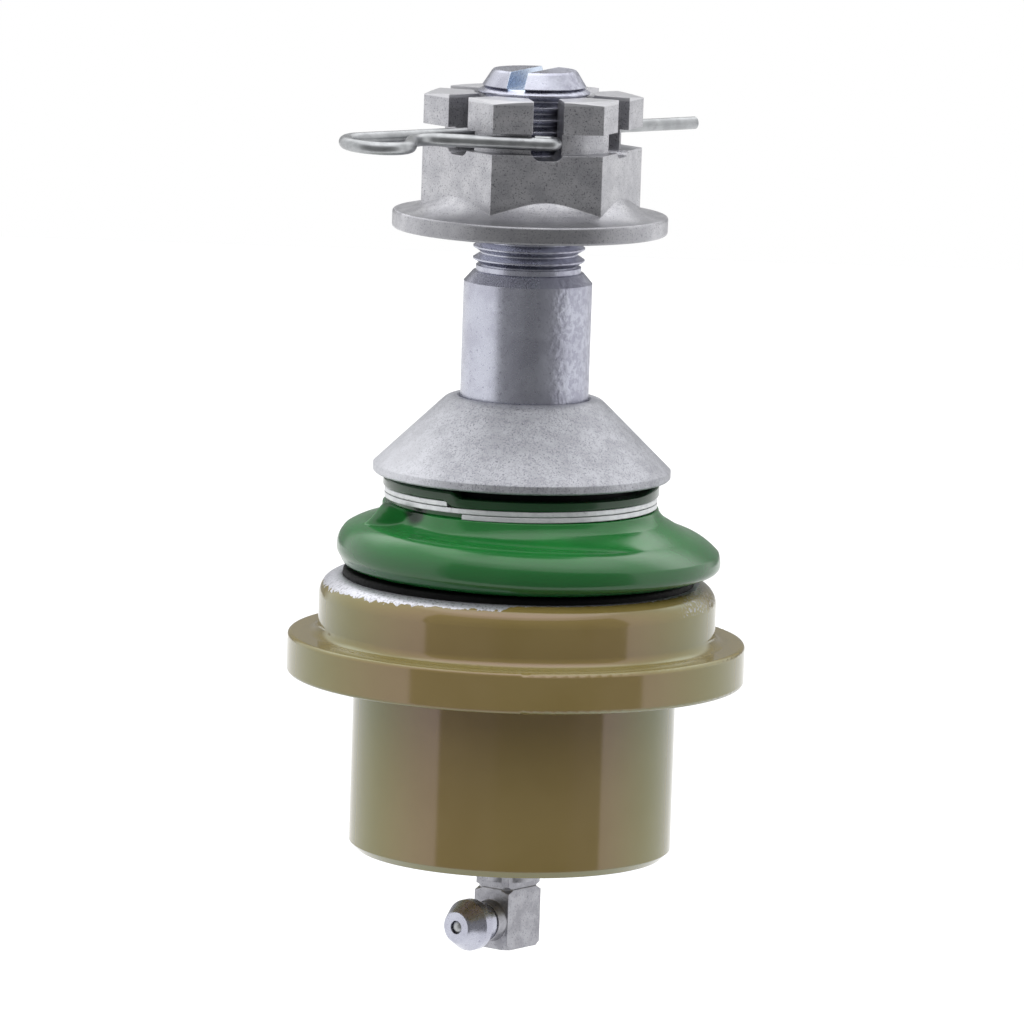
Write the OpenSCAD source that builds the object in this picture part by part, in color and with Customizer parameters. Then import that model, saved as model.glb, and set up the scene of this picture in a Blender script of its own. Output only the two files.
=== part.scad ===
// Press-in suspension ball joint, millimetres.
// Z runs up the joint's axis. The origin is on the axis at the flange's underside, where the
// joint seats on the control arm: the barrel hangs below and the stud stands above.
// The ball, its bearings and springs go into the housing from above, and its lip is rolled in.

/* [Housing] */
// Press diameter of the barrel
barrel_d = 40.6; // [38:0.1:46]
// Length of the barrel under the flange
barrel_len = 22.2; // [21.6:0.1:26]
// Chamfer at the barrel's foot
barrel_edge = 0.9; // [0.3:0.1:1.4]
// Diameter of the seating flange
flange_d = 57.6; // [54:0.1:66]
// Thickness of the seating flange
flange_t = 5.1; // [4:0.1:6]
// Edge round of the flange
flange_edge = 0.5; // [0.2:0.1:1]
// Diameter of the collar above the flange
collar_d = 50; // [49:0.1:52]
// Height of the collar above the flange
collar_h = 7.4; // [7:0.1:8.4]
// Round of the rolled lip
lip_round = 2.5; // [2:0.1:2.7]
// Fillet between the collar and the flange
collar_fillet = 1.2; // [0.4:0.1:1.8]
// Bore that holds the bearings
bore_d = 34.2; // [33.6:0.1:35]
// Thickness of the barrel's floor
floor_t = 3.8; // [3:0.1:4.2]

/* [Closing ring] */
// Wall of the ring between the boot's foot and the rolled lip
closing_wall = 3.5; // [3:0.1:3.9]
// Thickness of the ring's base over the upper bearing
closing_base_t = 1.1; // [0.8:0.1:1.5]
// How far the ring stands above the housing's lip
closing_rise = 0.9; // [0.4:0.1:1.2]
// Opening of the ring's base round the swinging neck
closing_mouth_d = 29.2; // [28:0.1:30]

/* [Ball and bearings] */
// Diameter of the ball
ball_d = 26; // [25:0.1:26.4]
// Distance of the flat under the ball from its centre
ball_flat = 10.6; // [9.5:0.1:11.5]
// Swing of the stud to each side, in degrees
swing_angle = 18; // [8:1:19]
// Gap between the two bearings at the ball's equator
equator_gap = 0.8; // [0.4:0.1:1.2]
// Distance from the ball's centre to the lower bearing's underside
cup_depth = 12.4; // [12.3:0.1:12.7]
// Thickness of the pressure plate
plate_t = 1.2; // [0.9:0.1:1.4]
// Height of the two disc springs together, as fitted
springs_h = 1.75; // [1.4:0.05:2]
// Thickness of one disc spring
disc_t = 0.5; // [0.4:0.05:0.6]

/* [Stud] */
// Diameter of the neck above the ball
neck_d = 15.6; // [13:0.1:16]
// Diameter of the shoulder that carries the collar
shoulder_d = 22; // [19:0.1:24]
// Thickness of the shoulder
shoulder_t = 2; // [1.5:0.1:2.4]
// Diameter of the plain shank
shank_d = 16.1; // [15:0.1:17]
// Height of the shank's upper end
shank_top = 51.3; // [48:0.1:52]
// Length of the chamfer at the shank's upper end
shank_chamfer = 1.25; // [0.6:0.05:1.5]
// Outside diameter of the thread
thread_d = 14; // [13:0.1:14.4]
// Pitch of the thread
thread_pitch = 1.5; // [1:0.25:2]
// Length of the relief under the thread
relief_len = 0.75; // [0.4:0.05:1]
// Length of thread that stands above the nut
thread_proud = 0.9; // [0.2:0.1:2.5]
// Height of the slotted tip above the thread
tip_h = 2; // [1.5:0.1:3]
// Diameter of the tip's lower end
tip_base_d = 13; // [12:0.1:13.4]
// Diameter of the tip's upper end
tip_end_d = 10.8; // [9:0.1:11.5]
// Width of the slot in the tip
tip_slot_w = 2.3; // [1.5:0.1:3]
// Direction of the slot in the tip, in degrees from X
tip_slot_turn = -112; // [-180:1:180]

/* [Taper collar] */
// Diameter of the cone's base
cone_base_d = 37.4; // [36:0.1:39]
// Diameter of the cone's top
cone_top_d = 19.2; // [18:0.1:21]
// Height of the cone's base above the flange's underside
cone_base_z = 25.7; // [25.4:0.1:26.4]
// Height of the straight band under the cone
cone_band = 1.05; // [0.6:0.05:1.6]
// Height of the cone above its band
cone_h = 8.8; // [7:0.1:10]
// Round of the cone's upper edge
cone_round = 2; // [0.6:0.1:2.4]
// Diameter of the spigot that the boot's neck grips
spigot_d = 30; // [29:0.1:31]
// Length of the spigot under the cone
spigot_len = 4.3; // [4:0.1:4.6]

/* [Castle nut] */
// Width across the hexagon's flats
nut_af = 24; // [22:0.1:25]
// Height of the nut's clamping face
nut_z = 56.5; // [54:0.1:57]
// Whole height of the nut
nut_h = 17.25; // [16.5:0.05:17.6]
// Diameter of the nut's flange
nut_flange_d = 34.5; // [33:0.1:36]
// Height of the flange's rim
nut_rim_h = 2.25; // [1.8:0.05:3]
// Radius of the sweep from the hexagon to the flange
nut_sweep = 6; // [5:0.1:7]
// Width of the slots
slot_w = 3.85; // [3:0.05:4.4]
// How far the slots reach below the groove
slot_under = 0.7; // [0.2:0.1:1.2]
// Corner radius at the slot's floor
slot_corner = 1.1; // [0.3:0.1:1.4]
// Diameter of the groove under the prongs
groove_d = 22; // [20.6:0.1:22.6]
// Width of the groove
groove_w = 2.6; // [2.2:0.1:3]
// Height of the groove's lower edge above the clamping face
groove_rise = 10.6; // [10:0.1:11]
// Direction of the flat that faces the viewer, in degrees from X
nut_turn = -81; // [-180:1:180]

/* [Hairpin clip] */
// Diameter of the clip's wire
wire_d = 1.6; // [1.2:0.1:1.9]
// Diameter of the cross hole in the stud
cross_hole_d = 2.7; // [2.4:0.1:3]
// Reach of the straight leg's cut end from the axis
clip_reach = 26.3; // [20:0.1:32]
// Reach of the eye's centre from the axis, on the other side
clip_eye_reach = 27.6; // [24:0.1:32]
// Bend radius of the eye
clip_eye_r = 4; // [3.5:0.1:4.5]
// Bend radius where the long leg closes in on the straight one
clip_pinch_r = 4; // [3:0.1:5]
// Gap between the two legs, centre to centre, where they are closest
clip_pinch_gap = 2.7; // [2.2:0.1:3.2]
// Bend radius of the hook at the long leg's end
clip_hook_r = 0.95; // [0.9:0.05:1.1]
// Fall of the clip towards its long leg, in degrees
clip_lean = 2.9; // [1.5:0.1:3.2]

/* [Boot] */
// Widest diameter of the boot
boot_d = 48.3; // [47:0.1:50]
// Height of the bulge's widest place
bulge_z = 15.7; // [15.4:0.1:16.2]
// Radius of the bulge's outer curve
bulge_r = 3.5; // [3.3:0.1:3.8]
// Thickness of the boot's wall
boot_wall = 1.3; // [1:0.1:1.6]
// Diameter of the lip above the clamp ring
boot_lip_d = 34.7; // [34:0.1:35.6]
// Height of the lip
boot_lip_h = 1.3; // [1:0.1:1.6]
// Depth of the clamp ring's groove under the lip
boot_groove = 1.1; // [0.8:0.1:1.3]
// How far the shoulder under the groove stands out from it
boot_shoulder = 1; // [0.6:0.1:1.4]
// Thickness of the boot's foot
foot_t = 3.1; // [2.6:0.1:3.3]
// Thickness of the steel ring inside the foot
foot_ring_t = 0.9; // [0.6:0.1:1]
// Height of the clamp ring's flat wire
clamp_wire_h = 0.62; // [0.5:0.02:0.7]
// Thickness of the clamp ring's flat wire
clamp_wire_t = 0.8; // [0.6:0.05:0.9]
// Turns of the clamp ring
clamp_turns = 1.98; // [1.5:0.01:2.5]
// Direction of the clamp ring's lower end, in degrees from X
clamp_start_turn = -115; // [-180:1:180]

/* [Grease fitting] */
// Thread diameter of the elbow in the housing's floor
fitting_thread_d = 6.35; // [5.5:0.05:7]
// Distance from the housing's floor to the turned groove round the elbow's square
elbow_drop = 4.6; // [3.6:0.1:6]
// Height of the square below that groove
elbow_h = 7.7; // [7.2:0.1:8.4]
// Distance from that groove to the nipple's axis
nipple_drop = 4.1; // [3.7:0.1:4.4]
// Width of the square across the nipple
elbow_w = 5.4; // [5.2:0.1:6.5]
// Depth of the square along the nipple
elbow_depth = 6.6; // [6:0.1:7.4]
// Distance from the joint's axis to the nipple's mouth
nipple_reach = 10.3; // [9.7:0.1:12]
// Largest diameter of the nipple's head
nipple_d = 6.5; // [6:0.1:6.8]
// Diameter of the nipple's mouth face
nipple_face_d = 4.2; // [3.6:0.1:4.6]
// Diameter of the mouth that the ball closes
mouth_d = 1.7; // [1.4:0.1:1.9]
// Diameter of the check ball
check_ball_d = 2.3; // [2.2:0.05:2.5]
// Direction of the nipple, in degrees from X
nipple_turn = -128; // [-180:1:180]

/* [Hidden] */
$fn = 96;

// Clearances
running_gap = 0.05;  // between the ball and its bearings
fit_gap = 0.05;      // between rings that are pressed or rolled together
turn_gap = 0.1;      // round the lower bearing, which may turn in its bore
thread_gap = 0.04;   // between the crests of a thread and the plain bore that stands for its mate
soft_gap = 0.1;      // round the boot, where it seats on metal
rest_gap = 0.3;      // between the boot's lip and the cone above it
boot_rest = 0.15;    // between the boot's bulge and the closing ring
over = 1;            // length by which a cut runs past a face

// Housing, from the floor up
barrel_r = barrel_d / 2;
collar_r = collar_d / 2;
bore_r = bore_d / 2;
floor_z = -barrel_len + floor_t;
collar_top = flange_t + collar_h;
collar_wall = 2;
lip_t = 1.6;
lip_flat = 0.4;
lip_edge_t = 0.5;
lip_inner_r = collar_r - lip_round - lip_flat;
lip_under_z = collar_top - lip_t;
pocket_r = collar_r - collar_wall;
bearing_rise = 3.5;
bearing_top = flange_t + bearing_rise;

// Closing ring, boot foot and the ring inside it
closing_top = collar_top + closing_rise;
closing_r = pocket_r - fit_gap;
closing_bore_r = closing_r - closing_wall;
foot_z = bearing_top + closing_base_t;
foot_r = closing_bore_r - soft_gap;
foot_ring_r = foot_r - foot_t - fit_gap;
foot_ring_h = 2.8;

// Ball, bearings and springs: the stack stands on the floor and sets the ball's height
plate_top = floor_z + springs_h + plate_t;
cup_floor_z = plate_top + fit_gap;
ball_z = cup_floor_z + cup_depth;
ball_r = ball_d / 2;
seat_r = ball_r + running_gap;
neck_r = neck_d / 2;
neck_polar = asin(neck_r / ball_r);
seat_polar = neck_polar + swing_angle + 3;
seat_edge_r = seat_r * sin(seat_polar);
seat_edge_z = ball_z + seat_r * cos(seat_polar);
mouth_slack = 0.9;
bearing_mouth_r = (bearing_top - ball_z) * tan(swing_angle) + neck_r / cos(swing_angle) + mouth_slack;
cup_rim_t = 0.3;
cup_hole_r = sqrt(pow(seat_r, 2) - pow(cup_depth - cup_rim_t, 2));
plate_gap = 0.4;
plate_r = bore_r - plate_gap;
plate_hole_r = 2.5;
disc_out_r = bore_r - 2 * plate_gap;
disc_in_r = 8.5;

// Stud
shank_r = shank_d / 2;
shoulder_r = shoulder_d / 2;
collar_seat_z = cone_base_z - spigot_len;
shoulder_fillet = 1.6;
thread_r = thread_d / 2;
thread_root_r = thread_r - 0.61 * thread_pitch;
relief_depth = 0.4;
relief_r = thread_r - relief_depth;
thread_top = nut_z + nut_h + thread_proud;
tip_top = thread_top + tip_h;
stud_edge = 0.25;

// Taper collar
cone_base_r = cone_base_d / 2;
cone_top_r = cone_top_d / 2;
cone_top_z = cone_base_z + cone_band + cone_h;
cone_slope = atan2(cone_h, cone_base_r - cone_top_r);
spigot_r = spigot_d / 2;
spigot_edge = 0.9;

// Castle nut
hex_r = nut_af / 2 / cos(30);
nut_top = nut_z + nut_h;
nut_flange_r = nut_flange_d / 2;
nut_rim_edge = 0.35;
nut_chamfer_r = nut_af / 2;
nut_chamfer_angle = 12;
groove_z = nut_z + groove_rise;
slot_floor_z = groove_z - slot_under;
nut_bore_r = thread_r + thread_gap;
nut_countersink = 0.6;

// Hairpin clip: its straight leg lies along X in its own plane, with the long leg on the -Y side;
// the hole stands so high that the leaning clip brings its long leg to the groove's middle
wire_r = wire_d / 2;
clip_turn = nut_turn + 120;
hug_r = groove_d / 2 + wire_r + soft_gap;
cross_hole_z = groove_z + groove_w / 2 + hug_r * sin(clip_lean);
eye_swing = 50;
pinch_rise = 2 * clip_eye_r - clip_pinch_gap - clip_eye_r * (1 - cos(eye_swing)) - clip_pinch_r * (1 - cos(eye_swing));
pinch_line = pinch_rise / sin(eye_swing);
pinch_x = -clip_eye_reach + clip_eye_r * sin(eye_swing) + pinch_line * cos(eye_swing)
    + clip_pinch_r * sin(eye_swing);
pinch_centre = [pinch_x, -clip_pinch_gap - clip_pinch_r];
centre_gap = norm(pinch_centre);
long_leg_fall = round(2 * (asin((clip_pinch_r + hug_r) / centre_gap)
    - atan2(-pinch_centre[1], -pinch_centre[0]))) / 2;
long_leg_len = sqrt(pow(centre_gap, 2) - pow(clip_pinch_r + hug_r, 2)) + 0.5;
clip_hook_tail = 1.6;

// Boot and clamp ring
bulge_x = boot_d / 2 - bulge_r;
boot_bottom = closing_top + boot_rest;
boot_lip_r = boot_lip_d / 2;
boot_bore_r = spigot_r + soft_gap;
boot_top = cone_base_z - rest_gap;
lip_foot_z = boot_top - boot_lip_h;
boot_groove_r = boot_lip_r - boot_groove;
clamp_pitch = clamp_wire_h + soft_gap;
clamp_h = clamp_pitch * clamp_turns + clamp_wire_h;
groove_foot_z = lip_foot_z - clamp_h - 2 * soft_gap;
clamp_r = boot_groove_r + soft_gap;
shoulder_out_r = boot_groove_r + boot_shoulder;
sweep_r = max(bulge_x - shoulder_out_r, 0.5);
sweep_z = bulge_z + bulge_r + sweep_r;
cavity_out = 0.5;
cavity_up = 0.7;
cavity_r = bulge_r - boot_wall - norm([cavity_out, cavity_up]);

// Grease fitting
fitting_r = fitting_thread_d / 2;
elbow_groove_z = -barrel_len - elbow_drop;
elbow_bottom = elbow_groove_z - elbow_h;
elbow_corner_r = norm([elbow_depth, elbow_w]) / 2;
elbow_chamfer = 0.5;
elbow_groove_t = 0.65;
elbow_groove_h = 0.5;
elbow_step = 0.12;
elbow_head_h = 1.9;
elbow_neck_r = 3.5;
elbow_stub = floor_t - 0.3;
elbow_bore_r = 1.2;
cross_bore_r = 1;
nipple_z = elbow_groove_z - nipple_drop;
nipple_r = nipple_d / 2;
nipple_face_r = nipple_face_d / 2;
nipple_cone_len = 2.2;
nipple_band_len = 1.1;
nipple_back_len = 0.8;
nipple_core = 1.6;
nipple_shank_r = 1.9;
nipple_shank_end = nipple_reach - nipple_core;
boss_len = 1.5;
boss_start = nipple_reach - elbow_depth / 2 - boss_len;
boss_r = 2.5;
boss_flare = 0.15;
mouth_r = mouth_d / 2;
mouth_t = 0.35;
nipple_bore_r = 1.3;
check_r = check_ball_d / 2;
check_s = mouth_t + sqrt(pow(check_r + 0.02, 2) - pow(mouth_r, 2));
check_wire_r = 0.16;
check_coil_r = 0.85;
seat_washer_t = 0.6;
seat_washer_s = nipple_shank_end - seat_washer_t - 0.5;
check_spring_turns = 5;

// A filler that rounds the corner between a wall on its left and a floor below, turned as asked
module fillet_at(x, z, r, turn = 0)
    translate([x, z]) rotate(turn) difference() {
        translate([-0.2, -0.2]) square(r + 0.2);
        translate([r, r]) circle(r);
    }

// What a rounded outer corner loses: turn 0 is a corner at the upper right
module corner_at(x, z, r, turn = 0)
    translate([x, z]) rotate(turn) translate([-r, -r]) difference() {
        square(r + 0.2);
        circle(r);
    }

// A ring of rectangular section
module band(r_in, r_out, z_low, z_high)
    translate([r_in, z_low]) square([r_out - r_in, z_high - z_low]);

// A closed solid through rings of points, each ring a list of as many points in the same order
module swept(rings) {
    n = len(rings[0]);
    last = len(rings) - 1;
    sides = [for (i = [0:last - 1], k = [0:n - 1])
        [i * n + k, i * n + (k + 1) % n, (i + 1) * n + (k + 1) % n, (i + 1) * n + k]];
    start = [[for (k = [n - 1:-1:0]) k]];
    end = [[for (k = [0:n - 1]) last * n + k]];
    polyhedron([for (ring = rings) each ring], concat(sides, start, end), convexity = 6);
}

// A coil about Z of a wire section, given as points [out, up] in clockwise order
module coil(section, r, pitch, turns, steps_per_turn, start_turn) {
    steps = ceil(turns * steps_per_turn);
    swept([for (i = [0:steps])
        let (a = start_turn + 360 * turns * i / steps, rise = pitch * turns * i / steps)
        [for (p = section) [(r + p[0]) * cos(a), (r + p[0]) * sin(a), rise + p[1]]]]);
}

// Puts its children on the nipple's axis, with Z running from the mouth inwards
module on_nipple()
    translate([nipple_reach * cos(nipple_turn), nipple_reach * sin(nipple_turn), nipple_z])
        rotate([0, 0, nipple_turn]) rotate([0, -90, 0]) children();

module housing() color("darkkhaki") difference() {
    rotate_extrude() difference() {
        union() {
            band(0, barrel_r, -barrel_len, flange_t);
            band(0, flange_d / 2, 0, flange_t);
            band(0, collar_r, 0, collar_top);
            fillet_at(collar_r, flange_t, collar_fillet);
        }
        polygon([[barrel_r - barrel_edge - over, -barrel_len - over], [barrel_r + over, -barrel_len - over],
            [barrel_r + over, -barrel_len + barrel_edge + over]]);
        corner_at(flange_d / 2, 0, flange_edge, -90);
        corner_at(flange_d / 2, flange_t, flange_edge);
        corner_at(collar_r, collar_top, lip_round);
        band(0, bore_r, floor_z, bearing_top + over);
        polygon([[0, bearing_top], [pocket_r, bearing_top], [pocket_r, lip_under_z],
            [lip_inner_r, collar_top - lip_edge_t], [lip_inner_r, collar_top + over],
            [0, collar_top + over]]);
    }
    translate([0, 0, -barrel_len - over]) cylinder(h = floor_t + 2 * over, r = fitting_r);
}

module closing_ring() color([0.07, 0.07, 0.08]) rotate_extrude() difference() {
    polygon([[closing_mouth_d / 2, bearing_top], [closing_r, bearing_top],
        [closing_r, lip_under_z - fit_gap], [lip_inner_r - fit_gap, collar_top - lip_edge_t - fit_gap],
        [lip_inner_r - fit_gap, closing_top], [closing_bore_r, closing_top],
        [closing_bore_r, foot_z], [closing_mouth_d / 2, foot_z]]);
    corner_at(lip_inner_r - fit_gap, closing_top, 0.4);
}

module upper_bearing() color("slategray") rotate_extrude() difference() {
    polygon([[seat_edge_r, seat_edge_z], [bearing_mouth_r, bearing_top],
        [bore_r - fit_gap, bearing_top], [bore_r - fit_gap, ball_z + equator_gap / 2],
        [seat_r - 1, ball_z + equator_gap / 2]]);
    translate([0, ball_z]) circle(seat_r);
}

module lower_bearing() color("darkslategray") rotate_extrude() difference() {
    band(cup_hole_r, bore_r - turn_gap, cup_floor_z, ball_z - equator_gap / 2);
    translate([0, ball_z]) circle(seat_r);
    corner_at(bore_r - turn_gap, cup_floor_z, 1, -90);
}

module pressure_plate() color("dimgray") rotate_extrude()
    band(plate_hole_r, plate_r, plate_top - plate_t, plate_top);

// One disc spring, coned so that its inner edge is its higher one
module disc_spring(h) rotate_extrude()
    polygon([[disc_in_r, h - disc_t], [disc_out_r, 0], [disc_out_r, disc_t], [disc_in_r, h]]);

module disc_springs() color("steelblue") {
    one_h = springs_h / 2 - fit_gap / 2;
    translate([0, 0, floor_z]) disc_spring(one_h);
    translate([0, 0, plate_top - plate_t]) mirror([0, 0, 1]) disc_spring(one_h);
}

// Outline of the thread: a crest and a root for each pitch, ending on a root
module thread_outline(z_low, z_high, crest_r, root_r, pitch) {
    count = floor((z_high - z_low) / pitch);
    start = z_high - count * pitch;
    flat = pitch / 8;
    polygon(concat([[0, z_low], [root_r, z_low]],
        [for (i = [0:count - 1], p = [[root_r, flat / 2], [crest_r, pitch / 2 - flat / 2],
            [crest_r, pitch / 2 + flat / 2], [root_r, pitch - flat / 2]])
            [p[0], start + i * pitch + p[1]]],
        [[root_r, z_high], [0, z_high]]));
}

module ball_stud() color("lightsteelblue") difference() {
    rotate_extrude() difference() {
        union() {
            intersection() {
                translate([0, ball_z]) circle(ball_r);
                band(0, ball_r + over, ball_z - ball_flat, ball_z + ball_r);
            }
            band(0, neck_r, ball_z, collar_seat_z);
            band(0, shoulder_r, collar_seat_z - shoulder_t, collar_seat_z);
            fillet_at(neck_r, collar_seat_z - shoulder_t, shoulder_fillet, -90);
            polygon([[0, collar_seat_z - over], [shank_r, collar_seat_z - over],
                [shank_r, shank_top - shank_chamfer], [thread_r - 0.05, shank_top],
                [relief_r, shank_top + 0.1], [relief_r, shank_top + relief_len], [0, shank_top + relief_len]]);
            thread_outline(shank_top + relief_len - 0.1, thread_top, thread_r, thread_root_r, thread_pitch);
            polygon([[0, thread_top - over], [thread_root_r, thread_top - over], [thread_root_r, thread_top],
                [tip_base_d / 2, thread_top], [tip_end_d / 2, tip_top - stud_edge],
                [tip_end_d / 2 - stud_edge, tip_top], [0, tip_top]]);
        }
        translate([-ball_r - over, ball_z - ball_r - over]) square([ball_r + over, tip_top + 3 * ball_r]);
        corner_at(shoulder_r, collar_seat_z - shoulder_t, 0.6, -90);
    }
    translate([0, 0, cross_hole_z]) rotate([0, 0, clip_turn]) rotate([0, 90, 0])
        cylinder(h = thread_d + 2 * over, r = cross_hole_d / 2, center = true);
    rotate(tip_slot_turn) translate([-thread_d, -tip_slot_w / 2, thread_top - 0.1])
        cube([2 * thread_d, tip_slot_w, tip_h + over]);
}

module taper_collar() color("silver") rotate_extrude() difference() {
    polygon([[shank_r + fit_gap, collar_seat_z], [spigot_r - spigot_edge, collar_seat_z],
        [spigot_r, collar_seat_z + spigot_edge], [spigot_r, cone_base_z],
        [cone_base_r - 0.2, cone_base_z], [cone_base_r, cone_base_z + 0.2],
        [cone_base_r, cone_base_z + cone_band], [cone_top_r, cone_top_z],
        [shank_r + fit_gap + 0.3, cone_top_z], [shank_r + fit_gap, cone_top_z - 0.3]]);
    translate([cone_top_r - cone_round * tan(cone_slope / 2), cone_top_z - cone_round]) difference() {
        polygon([[0, 0], [0, 2 * cone_round],
            [2 * cone_round * sin(cone_slope), 2 * cone_round * cos(cone_slope)]]);
        circle(cone_round);
    }
}

// The hexagon, with the turned chamfer on its upper corners
module nut_hexagon() intersection() {
    translate([0, 0, nut_z + nut_rim_h / 2]) rotate(nut_turn + 30)
        cylinder(h = nut_h - nut_rim_h / 2, r = hex_r, $fn = 6);
    rotate_extrude() polygon([[0, nut_z], [hex_r + over, nut_z],
        [hex_r + over, nut_top - (hex_r + over - nut_chamfer_r) * tan(nut_chamfer_angle)],
        [nut_chamfer_r, nut_top], [0, nut_top]]);
}

// The round flange, swept up to the hexagon's foot
module nut_flange() rotate_extrude() {
    sweep_x = nut_flange_r - 0.4;
    sweep_z = nut_z + nut_rim_h + nut_sweep;
    difference() {
        band(0, nut_flange_r, nut_z, nut_z + nut_rim_h);
        corner_at(nut_flange_r, nut_z + nut_rim_h, nut_rim_edge);
        corner_at(nut_flange_r, nut_z, nut_rim_edge, -90);
    }
    difference() {
        band(0, sweep_x, nut_z + nut_rim_h / 2, sweep_z - nut_sweep * 0.45);
        translate([sweep_x, sweep_z]) circle(nut_sweep);
    }
}

// One slot, cut across the nut, with rounded corners at its floor
module nut_slot() rotate([90, 0, 90]) translate([0, slot_floor_z, -2 * hex_r]) linear_extrude(4 * hex_r)
    difference() {
        translate([-slot_w / 2, 0]) square([slot_w, nut_top - slot_floor_z + over]);
        corner_at(slot_w / 2, 0, slot_corner, -90);
        corner_at(-slot_w / 2, 0, slot_corner, 180);
    }

module castle_nut() color("gainsboro") difference() {
    union() {
        nut_hexagon();
        nut_flange();
    }
    rotate_extrude() {
        band(groove_d / 2, hex_r + 2 * over, groove_z, groove_z + groove_w);
        band(0, nut_bore_r, nut_z - over, nut_top + over);
        polygon([[0, nut_top + over], [nut_bore_r + nut_countersink + over, nut_top + over],
            [nut_bore_r, nut_top - nut_countersink], [0, nut_top - nut_countersink]]);
        polygon([[0, nut_z - over], [nut_bore_r + nut_countersink + over, nut_z - over],
            [nut_bore_r, nut_z + nut_countersink], [0, nut_z + nut_countersink]]);
    }
    for (k = [0:2]) rotate(nut_turn + 60 * k) nut_slot();
}

// A wire along the steps of its path, each [length, 0] for a straight or [radius, turn] for a bend,
// where a positive turn bends to the left; a ball joins each step to the one before it
module wire_path(steps, i = 0) {
    if (i < len(steps)) {
        size = steps[i][0];
        turn = steps[i][1];
        side = turn < 0 ? -1 : 1;
        if (i > 0) sphere(wire_r, $fn = 32);
        if (turn == 0) {
            rotate([0, 90, 0]) cylinder(h = size, r = wire_r, $fn = 32);
            translate([size, 0, 0]) wire_path(steps, i + 1);
        } else {
            translate([0, side * size, 0]) {
                mirror([0, turn < 0 ? 1 : 0, 0]) rotate(-90)
                    rotate_extrude(angle = abs(turn)) translate([size, 0]) circle(wire_r, $fn = 32);
                rotate(turn) translate([0, -side * size, 0]) wire_path(steps, i + 1);
            }
        }
    }
}

module hairpin_clip() color("whitesmoke")
    translate([0, 0, cross_hole_z]) rotate(clip_turn) rotate([clip_lean, 0, 0])
        translate([clip_reach, 0, 0]) rotate(180) wire_path([
            [clip_reach + clip_eye_reach, 0],
            [clip_eye_r, 180 + eye_swing],
            [pinch_line, 0],
            [clip_pinch_r, -eye_swing - long_leg_fall],
            [long_leg_len, 0],
            [clip_hook_r, 180],
            [clip_hook_tail, 0]]);

module boot() color("seagreen") rotate_extrude() difference() {
    union() {
        intersection() {
            translate([bulge_x, bulge_z]) circle(bulge_r);
            band(0, boot_d, boot_bottom, boot_top);
        }
        band(foot_r - foot_t, foot_r, foot_z + fit_gap, bulge_z);
        difference() {
            band(boot_bore_r, bulge_x, bulge_z, groove_foot_z);
            translate([bulge_x, sweep_z]) circle(sweep_r);
            band(shoulder_out_r, bulge_x + over, sweep_z, max(sweep_z, groove_foot_z) + over);
        }
        band(boot_bore_r, boot_groove_r, groove_foot_z - 0.1, lip_foot_z + 0.1);
        band(boot_bore_r, boot_lip_r, lip_foot_z, boot_top);
    }
    corner_at(boot_lip_r, boot_top, 0.5);
    corner_at(boot_lip_r, lip_foot_z, 0.3, -90);
    translate([bulge_x + cavity_out, bulge_z + cavity_up]) circle(cavity_r);
    band(0, bulge_x + cavity_out, bulge_z + cavity_up - cavity_r, bulge_z + cavity_up + cavity_r);
    band(0, boot_bore_r, foot_z, boot_top + over);
}

module boot_foot_ring() color("dimgray") rotate_extrude()
    band(foot_ring_r - foot_ring_t, foot_ring_r, foot_z, foot_z + foot_ring_h);

module boot_clamp_ring() color("whitesmoke")
    translate([0, 0, groove_foot_z + soft_gap])
        coil([[0, 0], [0, clamp_wire_h], [clamp_wire_t, clamp_wire_h], [clamp_wire_t, 0]],
            clamp_r, clamp_pitch, clamp_turns, 96, clamp_start_turn);

// The elbow's square stock, with as much taken off each side as asked
module elbow_square(z_low, z_high, step = 0)
    translate([0, 0, z_low]) rotate(nipple_turn)
        translate([-elbow_depth / 2 + step, -elbow_w / 2 + step, 0])
            cube([elbow_depth - 2 * step, elbow_w - 2 * step, z_high - z_low]);

module grease_elbow() color("gainsboro") {
    head_top = elbow_groove_z + elbow_head_h;
    waist_r = elbow_corner_r - elbow_groove_t;
    difference() {
        union() {
            intersection() {
                union() {
                    elbow_square(elbow_bottom, elbow_groove_z);
                    elbow_square(elbow_groove_z - over, head_top, elbow_step);
                }
                rotate_extrude() polygon([[0, elbow_bottom], [elbow_corner_r - elbow_chamfer, elbow_bottom],
                    [elbow_corner_r + over, elbow_bottom + elbow_chamfer + over],
                    [elbow_corner_r + over, elbow_groove_z - elbow_groove_h - over * 0.6],
                    [waist_r, elbow_groove_z - elbow_groove_h / 4], [waist_r, elbow_groove_z + elbow_groove_h / 4],
                    [elbow_corner_r + over, elbow_groove_z + elbow_groove_h + over * 0.6],
                    [elbow_corner_r + over, head_top], [0, head_top]]);
            }
            on_nipple() rotate_extrude() polygon([[0, boss_start], [boss_r, boss_start],
                [boss_r + boss_flare, nipple_reach - elbow_depth / 2 + 0.1],
                [boss_r - boss_flare, nipple_reach - 1], [0, nipple_reach - 1]]);
            rotate_extrude() polygon([[0, head_top - over], [elbow_neck_r, head_top - over],
                [elbow_neck_r, -barrel_len], [fitting_r - thread_gap, -barrel_len],
                [fitting_r - thread_gap, -barrel_len + elbow_stub], [0, -barrel_len + elbow_stub]]);
        }
        translate([0, 0, nipple_z - elbow_bore_r]) cylinder(h = -nipple_z, r = elbow_bore_r);
        on_nipple() translate([0, 0, boss_start - over])
            cylinder(h = nipple_shank_end - boss_start + over, r = nipple_shank_r + fit_gap);
        on_nipple() cylinder(h = nipple_reach, r = cross_bore_r);
    }
}

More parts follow.
